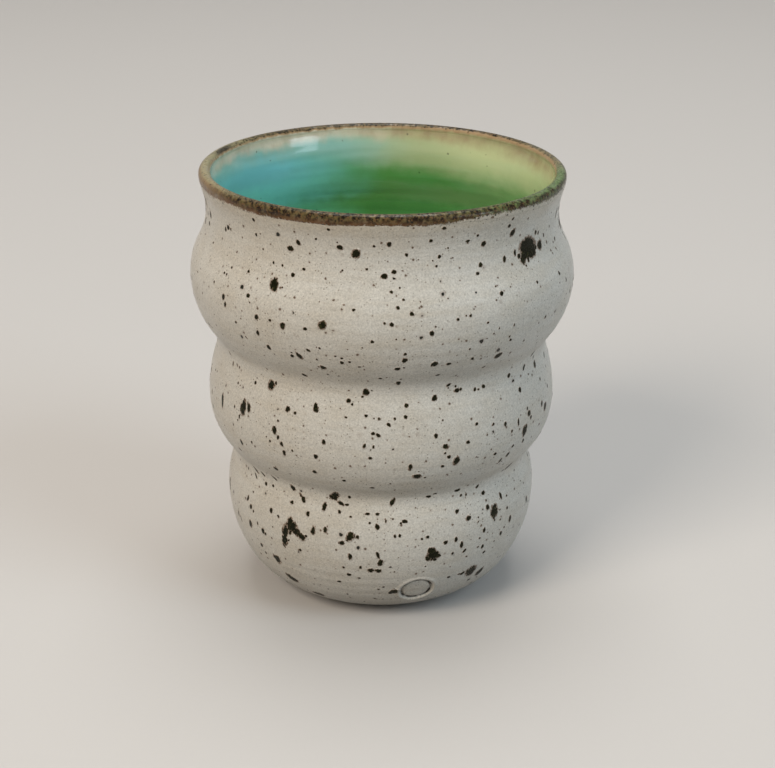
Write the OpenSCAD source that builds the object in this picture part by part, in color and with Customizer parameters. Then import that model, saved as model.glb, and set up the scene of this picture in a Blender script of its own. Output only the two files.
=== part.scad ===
// Hand-thrown stoneware tumbler without a handle.
// Three rounded lobes stand on each other and taper towards a small trimmed foot.
// One fired clay body carries three glaze coats: a white one outside, a green one inside
// and a brown one over the lip. Millimetres, origin in the middle of the foot, +Z up.
//
// The wall is turned from one outline. Lobes are convex arcs and waists are concave arcs,
// and each arc runs into the next without a corner. The coats use the same arc centres as
// the clay, so that each coat has one thickness all over.

/* [Overall] */
// Height from the table to the top of the lip
height = 105; // [100:0.5:112]
// Thickness of the wall at the lip, coats included
lip_wall = 3; // [2.4:0.1:4]
// Thickness of the wall at the lowest lobe, coats included
belly_wall = 4.5; // [3.5:0.1:6]
// Thickness of the floor above the table, coat included
floor_thickness = 5; // [4:0.1:8]

/* [Lip and neck] */
// Outer diameter of the lip
lip_d = 86.2; // [76:0.2:96]
// How far the neck draws in, from the narrower of the lip and the upper lobe
neck_depth = 1.4; // [0.6:0.1:4]
// Distance from the top of the lip down to the neck
neck_drop = 9.5; // [7:0.1:12]
// Radius of the hollow round the neck
neck_fillet = 15; // [5:0.5:20]

/* [Upper lobe] */
// Outer diameter of the upper lobe
upper_lobe_d = 91.8; // [82:0.2:102]
// Height of its widest line above the table
upper_lobe_z = 79.8; // [74:0.2:86]

/* [Upper waist] */
// How far the waist draws in, from the narrower of the upper and the middle lobe
upper_waist_depth = 2.3; // [0.8:0.1:5]
// Height of that waist above the table
upper_waist_z = 62.8; // [58:0.2:68]
// Radius of the crease round that waist
upper_waist_fillet = 6; // [3:0.5:9]

/* [Middle lobe] */
// Outer diameter of the middle lobe
middle_lobe_d = 84.4; // [76:0.2:94]
// Height of its widest line above the table
middle_lobe_z = 49.2; // [44:0.2:55]

/* [Lower waist] */
// How far the waist draws in, from the narrower of the middle and the lowest lobe
lower_waist_depth = 1.8; // [0.6:0.1:4]
// Height of that waist above the table
lower_waist_z = 34.6; // [31:0.2:39]
// Radius of the crease round that waist
lower_waist_fillet = 4; // [3:0.5:9]

/* [Lowest lobe] */
// Outer diameter of the lowest lobe
lower_lobe_d = 76.4; // [68:0.2:86]
// Height of its widest line above the table
lower_lobe_z = 24.8; // [22:0.2:28]
// Height of the belly's lowest point above the table
belly_lift = 0.5; // [0.2:0.1:1.2]
// Radius of the belly's side, below its widest line
belly_side_r = 30.5; // [30:0.5:36]
// Radius where the belly turns under
belly_turn_r = 17; // [14:0.5:17.5]

/* [Foot] */
// Outer diameter of the trimmed foot ring
foot_d = 39; // [36:0.5:44]
// Width of the foot ring's standing face
foot_width = 5; // [3:0.5:8]
// Bevel on the two edges of the standing face
foot_bevel = 0.4; // [0.2:0.1:0.8]
// Depth of the hollow under the floor
foot_hollow = 1.5; // [1.3:0.1:2.4]

/* [Glaze coats] */
// Thickness of the three glaze coats
coat = 0.5; // [0.3:0.05:0.8]
// How far the brown coat reaches down outside, from the top of the lip
rim_coat_outside = 3.4; // [2.4:0.1:6]
// How far the brown coat reaches down inside, from the top of the lip
rim_coat_inside = 2; // [1.9:0.1:5]
// Bare clay left between the foot ring and the white coat
bare_clay = 2; // [1:0.5:6]

/* [Quality] */
// Segments in each full turn
turn_facets = 180; // [60:12:360]
// Largest turn between two points of an arc in the outline, in degrees
arc_step = 6; // [3:1:10]

/* [Hidden] */
$fn = turn_facets;

lip_z = height - lip_wall / 2;
lip_middle = lip_d / 2 - lip_wall / 2;
neck_z = height - neck_drop;
foot_r = foot_d / 2;
foot_inner_r = foot_r - foot_width;
// Largest share of a half wave that its waist fillet may take
fillet_share = 0.85;

// Thickness of the wall at height z: it thins evenly from the belly to the lip
function wall_at(z) = lip_wall + (belly_wall - lip_wall) * (lip_z - z) / (lip_z - lower_lobe_z);

// Radius of a neck or waist between two crests of these diameters
function waist_r(above_d, below_d, depth) = min(above_d, below_d) / 2 - depth;

// The outside, from the lip down: crests and waists take turns.
// Each row is [radius, height, fillet], and a crest has no fillet of its own.
OUTSIDE = [
    [lip_d / 2, lip_z, 0],
    [waist_r(lip_d, upper_lobe_d, neck_depth), neck_z, neck_fillet],
    [upper_lobe_d / 2, upper_lobe_z, 0],
    [waist_r(upper_lobe_d, middle_lobe_d, upper_waist_depth), upper_waist_z, upper_waist_fillet],
    [middle_lobe_d / 2, middle_lobe_z, 0],
    [waist_r(middle_lobe_d, lower_lobe_d, lower_waist_depth), lower_waist_z, lower_waist_fillet],
    [lower_lobe_d / 2, lower_lobe_z, 0]
];

// The inside follows the outside, one wall thickness further in
INSIDE = [
    for (p = OUTSIDE)
        [p[0] - wall_at(p[1]), p[1], p[2] == 0 ? 0 : p[2] + wall_at(p[1])]
];

// The two arcs of the bowl below the lowest crest: one down its side and a tighter one that
// turns under and ends level. Each row is [centre, radius, first angle, last angle].
function bowl(crest, side_r, turn_r, bottom) =
    let (
        spread = side_r - turn_r,
        lean = asin((crest[1] - turn_r - bottom) / spread),
        side = [crest[0] - side_r, crest[1]],
        turn = side + spread * [cos(lean), -sin(lean)]
    )
    [[side, side_r, 0, -lean], [turn, turn_r, -lean, -90]];

OUTER_BOWL = bowl(OUTSIDE[len(OUTSIDE) - 1], belly_side_r, belly_turn_r, belly_lift);
INNER_BOWL = bowl(
    INSIDE[len(INSIDE) - 1],
    belly_side_r - belly_wall,
    belly_turn_r - belly_wall,
    floor_thickness
);

// Points of an arc, without its last one, which starts the next arc
function arc(centre, r, from, to) =
    let (steps = max(1, ceil(abs(to - from) / arc_step)))
    [for (i = [0 : steps - 1])
        let (a = from + (to - from) * i / steps)
        centre + r * [cos(a), sin(a)]];

// The two arcs that join a crest to the waist next to it and share one tangent:
// [crest centre, crest radius, waist centre, waist radius, angle where they meet].
// grow moves the line outwards, and both centres stay.
function half_wave(crest, waist, grow) =
    let (
        step = crest[0] - waist[0],
        rise = waist[1] - crest[1],
        reach = (step * step + rise * rise) / (2 * step),
        hollow_r = min(waist[2], fillet_share * reach),
        crest_r = reach - hollow_r
    )
    [
        [crest[0] - crest_r, crest[1]],
        crest_r + grow,
        [waist[0] + hollow_r, waist[1]],
        hollow_r - grow,
        atan2(rise, reach - step)
    ];

function down_to_waist(crest, waist, grow) =
    let (w = half_wave(crest, waist, grow))
    concat(arc(w[0], w[1], 0, w[4]), arc(w[2], w[3], 180 + w[4], 180));

function down_to_crest(waist, crest, grow) =
    let (w = half_wave(crest, waist, grow))
    concat(arc(w[2], w[3], 180, 180 + w[4]), arc(w[0], w[1], w[4], 0));

// A whole outline from the lip line down the wall and under the bowl to the axis
function outline(rows, bowl_arcs, grow) =
    let (
        wall = [
            for (i = [0 : len(rows) - 2])
                each i % 2 == 0
                    ? down_to_waist(rows[i], rows[i + 1], grow)
                    : down_to_crest(rows[i], rows[i + 1], grow)
        ],
        belly = [for (b = bowl_arcs) each arc(b[0], b[1] + grow, b[2], b[3])],
        turn = bowl_arcs[1],
        bottom = turn[0][1] - turn[1] - grow
    )
    concat(wall, belly, [[turn[0][0], bottom], [0, bottom]]);

function outer_line(peel = 0) = outline(OUTSIDE, OUTER_BOWL, -peel);
function inner_line(peel = 0) = outline(INSIDE, INNER_BOWL, peel);

// Height of the belly's underside at radius r
function underside_z(r) =
    let (turn = OUTER_BOWL[1])
    turn[0][1] - sqrt(pow(turn[1], 2) - pow(max(0, r - turn[0][0]), 2));

function backwards(points) = [for (i = [len(points) - 1 : -1 : 0]) points[i]];

// Section of the wall and floor without the foot, with peel taken off on both faces.
// It runs up the outside, over the round lip and down the inside.
module wall_section(peel = 0) {
    lip = arc([lip_middle, lip_z], lip_wall / 2 - peel, 0, 180);
    up = backwards(outer_line(peel));
    polygon(concat([for (i = [0 : len(up) - 2]) up[i]], lip, inner_line(peel)));
}

// Section of one coat between the bare line and the glazed line
module coat_section(from_line, to_line) {
    polygon(concat(from_line, backwards(to_line)));
}

// A block of the half plane from the axis out to radius r, between two heights
module block(r, low, high) {
    translate([0, low])
        square([r, high - low]);
}

// The standing ring with bevelled edges, up into the clay of the belly
module foot_section() {
    reach = coat + foot_hollow;
    polygon([
        [foot_inner_r + foot_bevel, 0],
        [foot_r - foot_bevel, 0],
        [foot_r, foot_bevel],
        [foot_r, underside_z(foot_r) + reach],
        [foot_inner_r, underside_z(foot_inner_r) + reach],
        [foot_inner_r, foot_bevel]
    ]);
}

// The fired clay: wall, floor and foot ring, bare only under the belly
module clay_body() {
    color("burlywood")
        rotate_extrude() {
            difference() {
                wall_section(coat);
                block(foot_inner_r, 0, foot_hollow);
            }
            foot_section();
        }
}

// Satin white coat, from under the brown band down to the bare clay
module outer_glaze() {
    color("ivory")
        rotate_extrude()
            difference() {
                coat_section(outer_line(coat), outer_line());
                block(foot_r + bare_clay, 0, lower_lobe_z);
                block(lip_d, height - rim_coat_outside, height);
            }
}

// Glossy green coat over the floor and the inside of the wall
module liner_glaze() {
    color("seagreen")
        rotate_extrude()
            difference() {
                coat_section(inner_line(coat), inner_line());
                block(lip_d, height - rim_coat_inside, height);
            }
}

// Brown coat over the lip
module rim_glaze() {
    color("saddlebrown")
        rotate_extrude()
            difference() {
                wall_section();
                wall_section(coat);
                block(lip_middle, 0, height - rim_coat_inside);
                block(lip_d, 0, height - rim_coat_outside);
            }
}

clay_body();
outer_glaze();
liner_glaze();
rim_glaze();
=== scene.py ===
"""Hand-thrown stoneware tumbler: three rounded lobes, a speckled white coat outside, a green
liner and a brown band over the lip.

The clay and its coats are surfaces of turn that share one skin. The skin is the glazed line of
the cup's half section: from the axis under the floor, up the outside, over the lip, down the
inside and across the floor to the axis. A place on it is a turn, 0 at the front and growing to
the right, and a length along that line. Everything is in metres.
"""

import math
from collections import namedtuple

import bpy
import numpy as np
from bpy.props import FloatProperty, FloatVectorProperty, IntProperty, PointerProperty
from mathutils import Matrix, Vector


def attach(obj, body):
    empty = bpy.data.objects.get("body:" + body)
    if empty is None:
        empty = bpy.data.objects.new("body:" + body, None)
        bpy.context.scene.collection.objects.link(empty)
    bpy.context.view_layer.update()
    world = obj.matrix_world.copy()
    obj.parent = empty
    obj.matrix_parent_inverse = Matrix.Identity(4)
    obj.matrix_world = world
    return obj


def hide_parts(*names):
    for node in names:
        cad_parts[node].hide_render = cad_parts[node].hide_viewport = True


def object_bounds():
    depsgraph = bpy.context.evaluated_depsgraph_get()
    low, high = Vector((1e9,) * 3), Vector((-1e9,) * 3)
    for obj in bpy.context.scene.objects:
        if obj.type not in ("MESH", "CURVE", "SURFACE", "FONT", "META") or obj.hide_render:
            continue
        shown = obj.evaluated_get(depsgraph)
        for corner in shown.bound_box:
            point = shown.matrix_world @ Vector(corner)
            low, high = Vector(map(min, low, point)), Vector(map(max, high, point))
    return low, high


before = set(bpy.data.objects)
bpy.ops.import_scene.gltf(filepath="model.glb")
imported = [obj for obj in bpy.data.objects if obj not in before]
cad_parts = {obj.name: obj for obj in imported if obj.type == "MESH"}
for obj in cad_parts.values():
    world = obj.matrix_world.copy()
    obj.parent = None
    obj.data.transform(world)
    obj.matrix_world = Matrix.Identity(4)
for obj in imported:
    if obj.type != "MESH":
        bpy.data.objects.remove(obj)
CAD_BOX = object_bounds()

bl_info = {
    "name": "Stoneware tumbler",
    "version": (1, 0, 0),
    "blender": (4, 5, 0),
    "location": "View3D > Sidebar > Tumbler",
    "description": "Builds a hand-thrown tumbler, its glazes and a plain studio",
    "category": "Object",
}

MM = 0.001
FULL_TURN = 2 * math.pi
CAD_HEIGHT = CAD_BOX[1].z - CAD_BOX[0].z
CAD_WIDTH = CAD_BOX[1].x - CAD_BOX[0].x


# Settings


def length(name, millimetres, description):
    return FloatProperty(
        name=name, description=description, default=millimetres * MM, unit="LENGTH", precision=5
    )


def angle(name, degrees, description):
    return FloatProperty(
        name=name, description=description, default=math.radians(degrees), subtype="ANGLE"
    )


def power(name, watts, description):
    return FloatProperty(name=name, description=description, default=watts, unit="POWER")


def linear(red, green, blue):
    """A colour given as it is seen, 0 to 255, as linear light."""
    seen = (red / 255, green / 255, blue / 255)
    return tuple(c / 12.92 if c <= 0.04045 else ((c + 0.055) / 1.055) ** 2.4 for c in seen)


def colour(name, seen, description):
    return FloatVectorProperty(
        name=name, description=description, default=linear(*seen), subtype="COLOR", min=0, max=1
    )


class TumblerForm(bpy.types.PropertyGroup):
    """Sizes of the turned wall"""

    height: length("Height", CAD_HEIGHT / MM, "Table to the top of the lip")
    lip_wall: length("Wall at the lip", 3, "Thickness of the wall at the lip")
    belly_wall: length("Wall at the belly", 4.5, "Thickness of the wall at the lowest lobe")
    floor_thickness: length("Floor", 5, "Thickness of the floor above the table")
    lip_d: length("Lip", 86.2, "Outer diameter of the lip")
    neck_depth: length("Neck depth", 1.4, "How far the neck draws in from the lip")
    neck_drop: length("Neck drop", 9.5, "Top of the lip down to the neck")
    neck_fillet: length("Neck hollow", 15, "Radius of the hollow round the neck")
    upper_lobe_d: length("Upper lobe", CAD_WIDTH / MM, "Outer diameter of the upper lobe")
    upper_lobe_z: length("Upper lobe height", 79.8, "Height of its widest line")
    upper_waist_depth: length("Upper waist depth", 2.3, "How far the upper waist draws in")
    upper_waist_z: length("Upper waist height", 62.8, "Height of the upper waist")
    upper_waist_fillet: length("Upper crease", 6, "Radius of the upper crease")
    middle_lobe_d: length("Middle lobe", 84.4, "Outer diameter of the middle lobe")
    middle_lobe_z: length("Middle lobe height", 49.2, "Height of its widest line")
    lower_waist_depth: length("Lower waist depth", 1.8, "How far the lower waist draws in")
    lower_waist_z: length("Lower waist height", 34.6, "Height of the lower waist")
    lower_waist_fillet: length("Lower crease", 4, "Radius of the lower crease")
    lower_lobe_d: length("Lowest lobe", 76.4, "Outer diameter of the lowest lobe")
    lower_lobe_z: length("Lowest lobe height", 24.8, "Height of its widest line")
    belly_lift: length("Belly lift", 0.5, "Lowest point of the belly above the table")
    belly_side_r: length("Belly side", 30.5, "Radius of the belly's side")
    belly_turn_r: length("Belly turn", 17, "Radius where the belly turns under")
    foot_d: length("Foot", 39, "Outer diameter of the foot ring")
    foot_width: length("Foot width", 5, "Width of the standing face")
    foot_bevel: length("Foot bevel", 0.4, "Bevel on the edges of the standing face")
    foot_hollow: length("Foot hollow", 1.5, "Depth of the hollow under the floor")
    coat: length("Coat", 0.5, "Thickness of the glaze coats")
    bare_clay: length("Bare clay", 2, "Bare clay between the foot and the white coat")


class HandMarks(bpy.types.PropertyGroup):
    """Marks that the potter's hands and tools left"""

    sway: length("Sway", 0.26, "How far the wall sways inside its true outline")
    soft_reach: length("Softness", 1.0, "Reach over which arcs melt into each other")
    ring_depth: length("Ring depth", 0.05, "Depth of the throwing rings outside")
    ring_pitch: length("Ring pitch", 2.7, "Distance between throwing rings")
    inner_ring_depth: length("Inner ring depth", 0.06, "Depth of the throwing rings inside")
    trim_depth: length("Trimming depth", 0.08, "Depth of the trimming grooves at the foot")
    white_sink: length("White coat sink", 0.07, "How far the other coats lie under the brown one")
    band_front: length("Band in front", 2.75, "Top of the lip down to the band's edge, in front")
    band_side: length("Band at the sides", 3.9, "The same at the sides")
    band_inside: length("Band inside", 1.9, "Top of the lip down to the band's inner edge")
    blot_lift: length("Blot lift", 0.05, "How far an iron blot stands proud of the white coat")
    dimple_d: length("Dimple", 8.5, "Diameter of the blank round impression near the foot")
    dimple_depth: length("Dimple depth", 0.45, "Depth of the blank round impression")
    dimple_z: length("Dimple height", 10.0, "Height of its middle above the table")
    dimple_turn: angle("Dimple turn", 14.8, "How far right of the front it lies")
    seed: IntProperty(name="Seed", description="Seed of all chance marks", default=7)


class GlazeColours(bpy.types.PropertyGroup):
    """Colours of the clay and the glazes"""

    white: colour("White", (206, 202, 192), "White coat")
    white_thin: colour("White, thin", (190, 180, 162), "White coat where it lies thin")
    pepper: colour("Pepper", (104, 92, 74), "Fine grain in the white coat")
    iron: colour("Iron", (20, 20, 5), "Iron blots")
    iron_sheen: colour("Iron sheen", (50, 50, 24), "Greenish bloom on the larger blots")
    rust: colour("Rust", (108, 74, 44), "Stain round an iron blot")
    clay: colour("Clay", (158, 132, 104), "Bare clay")
    clay_dark: colour("Clay, toasted", (118, 88, 62), "Bare clay where the kiln toasted it")
    band: colour("Band", (24, 15, 7), "Brown band over the lip")
    band_olive: colour("Band, olive", (107, 94, 58), "Olive bloom in the band")
    # The crown colours carry painted light caught on the top of the lip, as well as the glaze's own
    # tone
    band_tan: colour("Band, tan", (150, 143, 108), "Crown of the lip on the left")
    band_green: colour("Band, green", (100, 126, 76), "Crown of the lip on the right")
    band_red: colour("Band, thin", (102, 70, 42), "Band where it runs out thin")
    lip_edge: colour("Lip edge", (158, 132, 98), "Inner edge of the lip, where the band breaks")
    cream: colour("Cream", (204, 198, 176), "Liner just under the lip")
    lip_olive: colour("Lip, olive", (178, 170, 126), "Liner just under the lip on the right")
    blush: colour("Blush", (152, 128, 94), "Brownish cloud just under the lip")
    sage: colour("Sage", (134, 182, 170), "Liner over the neck, on the left")
    turquoise: colour("Turquoise", (128, 206, 214), "Liner in the lobes, on the left")
    # Painted light: a paler teal for the light low in the lobes on the left
    pooled_teal: colour("Painted light teal", (142, 232, 228), "Liner low in the lobes, on the left")
    lime: colour("Lime", (172, 183, 136), "Liner over the neck, behind")
    # Partly painted light: the lit right wall over the neck
    pale_lime: colour("Pale lime", (204, 210, 158), "Liner over the neck, on the right")
    green: colour("Green", (96, 156, 82), "Liner in the lobes, on the right")
    # Painted light: a paler green for the light at the bottom on the left
    sea_green: colour("Sea green", (130, 222, 190), "Liner at the bottom, on the left")
    # Painted shade: a darker green for the shade at the bottom on the right
    deep_green: colour("Deep green", (80, 138, 73), "Liner at the bottom, on the right")


class Studio(bpy.types.PropertyGroup):
    """Camera, lamps and floor"""

    rim_z: length("Rim height", 104.2, "Height of the middle of the mouth, which the camera faces")
    distance: length("Distance", 400, "Camera to the middle of the mouth")
    elevation: angle("Elevation", 14.766, "Camera above the mouth")
    drop: angle("Drop", 7.291, "How far the view's middle lies below the mouth")
    swing: angle("Swing", 0.229, "How far the view's middle lies right of the mouth")
    roll: angle("Roll", 0.503, "Turn of the picture")
    lens: FloatProperty(name="Lens", description="Focal length", default=78.7, unit="CAMERA")
    key_power: power("Key", 26.0, "Power of the key lamp")
    fill_power: power("Fill", 15.0, "Power of the fill lamp")
    top_power: power("Top", 17.0, "Power of the top lamp")
    window_power: power("Window", 4.5, "Power of the small lamp mirrored in the liner")
    sky: FloatProperty(name="Sky", description="Strength of the even light", default=0.32)
    floor_colour: colour("Floor", (197, 193, 188), "Floor and backdrop")


def form():
    return bpy.context.scene.tumbler_form


def marks():
    return bpy.context.scene.tumbler_marks


def colours():
    return bpy.context.scene.tumbler_colours


# The skin


def arc(centre, radius, start, end, step):
    """Points of an arc without its last one. Angles are in radians and step is a length."""
    count = max(2, math.ceil(abs(end - start) * radius / step))
    turned = start + (end - start) * np.arange(count) / count
    return np.column_stack(
        [centre[0] + radius * np.cos(turned), centre[1] + radius * np.sin(turned)]
    )


def half_wave(crest, waist):
    """The two arcs that join a crest to the waist next to it and share one tangent, as centre
    and radius, and the angle where they meet. A row is (radius, height, fillet)."""
    most_fillet = 0.85
    step = crest[0] - waist[0]
    rise = waist[1] - crest[1]
    reach = (step * step + rise * rise) / (2 * step)
    hollow_r = min(waist[2], most_fillet * reach)
    crest_r = reach - hollow_r
    meet = math.atan2(rise, reach - step)
    return (crest[0] - crest_r, crest[1]), crest_r, (waist[0] + hollow_r, waist[1]), hollow_r, meet


def bowl_arcs(crest, side_r, turn_r, bottom):
    """The two arcs below the lowest crest, as (centre, radius, first angle, last angle): one
    down its side and a tighter one that turns under and ends level."""
    spread = side_r - turn_r
    lean = math.asin((crest[1] - turn_r - bottom) / spread)
    side = (crest[0] - side_r, crest[1])
    turn = (side[0] + spread * math.cos(lean), side[1] - spread * math.sin(lean))
    return (side, side_r, 0, -lean), (turn, turn_r, -lean, -math.pi / 2)


def wall_down(rows, bowl, step):
    """One face of the wall, from the lip line down to the axis."""
    parts = []
    for upper, lower in zip(rows, rows[1:]):
        if lower[2]:
            crest_at, crest_r, waist_at, waist_r, meet = half_wave(upper, lower)
            parts.append(arc(crest_at, crest_r, 0, meet, step))
            parts.append(arc(waist_at, waist_r, math.pi + meet, math.pi, step))
        else:
            crest_at, crest_r, waist_at, waist_r, meet = half_wave(lower, upper)
            parts.append(arc(waist_at, waist_r, math.pi, math.pi + meet, step))
            parts.append(arc(crest_at, crest_r, meet, 0, step))
    parts += [arc(*bowl_arc, step) for bowl_arc in bowl]
    (flat_r, turn_z), turn_r = bowl[1][:2]
    flat = np.linspace(flat_r, 0, math.ceil(flat_r / step) + 1)
    parts.append(np.column_stack([flat, np.full(len(flat), turn_z - turn_r)]))
    return np.concatenate(parts)


def melted(points, reach, kept):
    """A line whose arcs melt into each other over a reach, as they do in soft clay. kept is 1
    where the line stays as it is."""
    spread = np.arange(-3 * reach, 3 * reach + 1) / reach
    weights = np.exp(-0.5 * spread**2)
    weights /= weights.sum()
    padded = np.pad(points, ((3 * reach, 3 * reach), (0, 0)), mode="edge")
    soft = [np.convolve(column, weights, mode="valid") for column in padded.T]
    return kept[:, None] * points + (1 - kept[:, None]) * np.column_stack(soft)


class Skin:
    """The glazed line of the half section, and the places on it that the pieces share."""

    def __init__(self, sizes):
        step = 0.05 * MM
        lip_z = sizes.height - sizes.lip_wall / 2
        neck_r = min(sizes.lip_d, sizes.upper_lobe_d) / 2 - sizes.neck_depth
        upper_waist_r = min(sizes.upper_lobe_d, sizes.middle_lobe_d) / 2 - sizes.upper_waist_depth
        lower_waist_r = min(sizes.middle_lobe_d, sizes.lower_lobe_d) / 2 - sizes.lower_waist_depth
        outside = [
            (sizes.lip_d / 2, lip_z, 0),
            (neck_r, sizes.height - sizes.neck_drop, sizes.neck_fillet),
            (sizes.upper_lobe_d / 2, sizes.upper_lobe_z, 0),
            (upper_waist_r, sizes.upper_waist_z, sizes.upper_waist_fillet),
            (sizes.middle_lobe_d / 2, sizes.middle_lobe_z, 0),
            (lower_waist_r, sizes.lower_waist_z, sizes.lower_waist_fillet),
            (sizes.lower_lobe_d / 2, sizes.lower_lobe_z, 0),
        ]

        def wall_at(z):
            share = (lip_z - z) / (lip_z - sizes.lower_lobe_z)
            return sizes.lip_wall + (sizes.belly_wall - sizes.lip_wall) * share

        inside = [
            (r - wall_at(z), z, fillet + wall_at(z) if fillet else 0) for r, z, fillet in outside
        ]
        side_r, turn_r, wall = sizes.belly_side_r, sizes.belly_turn_r, sizes.belly_wall
        outer_bowl = bowl_arcs(outside[-1], side_r, turn_r, sizes.belly_lift)
        inner_bowl = bowl_arcs(inside[-1], side_r - wall, turn_r - wall, sizes.floor_thickness)
        outer = wall_down(outside, outer_bowl, step)
        inner = wall_down(inside, inner_bowl, step)
        lip_centre = (sizes.lip_d / 2 - sizes.lip_wall / 2, lip_z)
        lip = arc(lip_centre, sizes.lip_wall / 2, 0, math.pi, step)
        line = np.concatenate([outer[::-1], lip[1:], inner])
        # The lip and the middle of the floor stay true
        from_lip = abs(line[:, 1] - lip_z - sizes.lip_wall / 2)
        kept = 1 - smooth(from_lip, 1.2 * MM, 5 * MM) * smooth(line[:, 0], 3 * MM, 8 * MM)
        self.points = melted(line, round(marks().soft_reach / step), kept)
        steps = np.hypot(*np.diff(self.points, axis=0).T)
        self.along = np.concatenate([[0], np.cumsum(steps)])
        self.end = self.along[-1]
        self.top = self.along[len(outer) + len(lip) // 2]
        slope = np.gradient(self.points, self.along, axis=0)
        slope /= np.hypot(*slope.T)[:, None]
        self.normals = np.column_stack([slope[:, 1], -slope[:, 0]])

    def place(self, along):
        """Radius, height and the two parts of the normal at these lengths along the line."""
        return [
            np.interp(along, self.along, column)
            for column in (*self.points.T, *self.normals.T)
        ]

    def outside_at(self, height):
        """Length along the line at which its outside passes a height."""
        rising = self.along <= self.top
        return np.interp(height, self.points[rising, 1], self.along[rising])

    def inside_at(self, height):
        """Length along the line at which its inside passes a height."""
        falling = self.along >= self.top
        return np.interp(height, self.points[falling, 1][::-1], self.along[falling][::-1])

    def under_at(self, radius):
        """Length along the line at which the underside reaches a radius."""
        under = self.points[:, 1] < form().lower_lobe_z
        under &= self.along < self.top
        return np.interp(radius, self.points[under, 0], self.along[under])


class Waves:
    """Smooth chance waves over the skin, from 0 to 1, that close on themselves in a turn."""

    def __init__(self, seed, turns, shortest, longest, count=9):
        draw = np.random.default_rng(seed)
        self.turns = draw.integers(0, turns + 1, count)
        self.pace = FULL_TURN / draw.uniform(shortest, longest, count)
        self.start = draw.uniform(0, FULL_TURN, count)
        self.share = draw.uniform(0.4, 1, count)
        self.share /= self.share.sum()

    def __call__(self, turn, along):
        total = 0.5
        for turns, pace, start, share in zip(self.turns, self.pace, self.start, self.share):
            total = total + 0.5 * share * np.cos(turns * turn + pace * along + start)
        return total


def smooth(value, low, high):
    """0 below low, 1 above high and an even ease between them."""
    share = np.clip((value - low) / (high - low), 0, 1)
    return share * share * (3 - 2 * share)


def hump(value, middle, width):
    """1 at the middle, falling off to 0 on both sides over about two widths."""
    return np.exp(-(((value - middle) / width) ** 2))


class Wall:
    """The skin with the potter's marks pressed into it."""

    def __init__(self):
        self.marks = marks()
        self.skin = Skin(form())
        seed = self.marks.seed
        self.sway = Waves(seed, 4, 35 * MM, 120 * MM)
        self.drift = Waves(seed + 1, 3, 30 * MM, 90 * MM)
        self.patches = Waves(seed + 2, 5, 12 * MM, 40 * MM)
        self.dimple_along = self.skin.outside_at(self.marks.dimple_z)
        self.dimple_radius = self.skin.place(self.dimple_along)[0]

    def rings(self, turn, along):
        """Throwing rings, 0 on their crests and 1 in their grooves. They climb as one spiral."""
        most_wander = 2.5 * FULL_TURN
        wander = most_wander * self.drift(turn, along)
        groove = 0.5 + 0.5 * np.cos(FULL_TURN * along / self.marks.ring_pitch - turn + wander)
        return groove * smooth(self.patches(turn, along), 0.35, 0.65)

    def dimple_reach(self, turn, along):
        """Distance from the middle of the blank round impression."""
        around = (turn - self.marks.dimple_turn) * self.dimple_radius
        return np.hypot(around, along - self.dimple_along)

    def dimple(self, turn, along):
        """Depth of the blank round impression: its floor, the groove round it and the low
        ridge that the tool pushed up."""
        reach = self.dimple_reach(turn, along)
        edge = self.marks.dimple_d / 2
        floor = 0.6 * (1 - smooth(reach, 0.84 * edge, edge))
        groove = 0.9 * self.groove(reach)
        ridge = 0.45 * hump(reach, 1.08 * edge, 0.1 * edge)
        return self.marks.dimple_depth * (floor + groove - ridge)

    def groove(self, reach):
        """Share of the ring that the edge of the tool cut, at a reach from the middle."""
        edge = self.marks.dimple_d / 2
        return hump(reach, 0.86 * edge, 0.075 * edge)

    def depth(self, turn, along):
        """How far the marks lie under the skin."""
        past_lip = along - self.skin.top
        inside = smooth(past_lip, -2 * MM, 2 * MM)
        ring_depth = self.marks.ring_depth * (1 - inside) + self.marks.inner_ring_depth * inside
        away_from_lip = smooth(abs(past_lip), 2 * MM, 8 * MM)
        away_from_axis = smooth(np.minimum(along, self.skin.end - along), 0, 12 * MM)
        sway = self.marks.sway * self.sway(turn, along) * away_from_axis
        rings = ring_depth * away_from_lip * away_from_axis * self.rings(turn, along)
        return sway + rings + self.dimple(turn, along)

    def surface(self, turn, along, level):
        """Radius and height of a point at a level above the marked skin."""
        radius, height, out, up = self.skin.place(along)
        rise = level - self.depth(turn, along)
        return radius + out * rise, height + up * rise


def even_turns(count, middle=0.0, reach=0.0, extra_count=0):
    """Angles round the cup, with extra ones within a reach of a middle."""
    extra = np.linspace(middle - reach, middle + reach, extra_count)
    turned = np.concatenate([np.arange(count) * FULL_TURN / count, extra])
    turned = np.sort(np.mod(turned, FULL_TURN))
    least_gap = 1e-4
    return turned[np.diff(turned, prepend=-1) > least_gap]


# Meshes


def point_rows(turn, radius, height):
    """Rows of points on the cup from their turn, radius and height."""
    turn, radius, height = np.broadcast_arrays(turn, radius, height)
    return np.stack([radius * np.sin(turn), -radius * np.cos(turn), height], axis=-1)


def quads_between(rings, turns, closed):
    """Corner numbers of the faces of a grid of rings by turns, which closes in its turns."""
    ring = np.arange(rings if closed else rings - 1)[:, None]
    turn = np.arange(turns)[None, :]
    following = (ring + 1) % rings
    beside = (turn + 1) % turns
    corners = [
        ring * turns + turn,
        ring * turns + beside,
        following * turns + beside,
        following * turns + turn,
    ]
    full = [np.broadcast_to(corner, (len(ring), turns)) for corner in corners]
    return np.stack(full, axis=-1).reshape(-1, 4)


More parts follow.
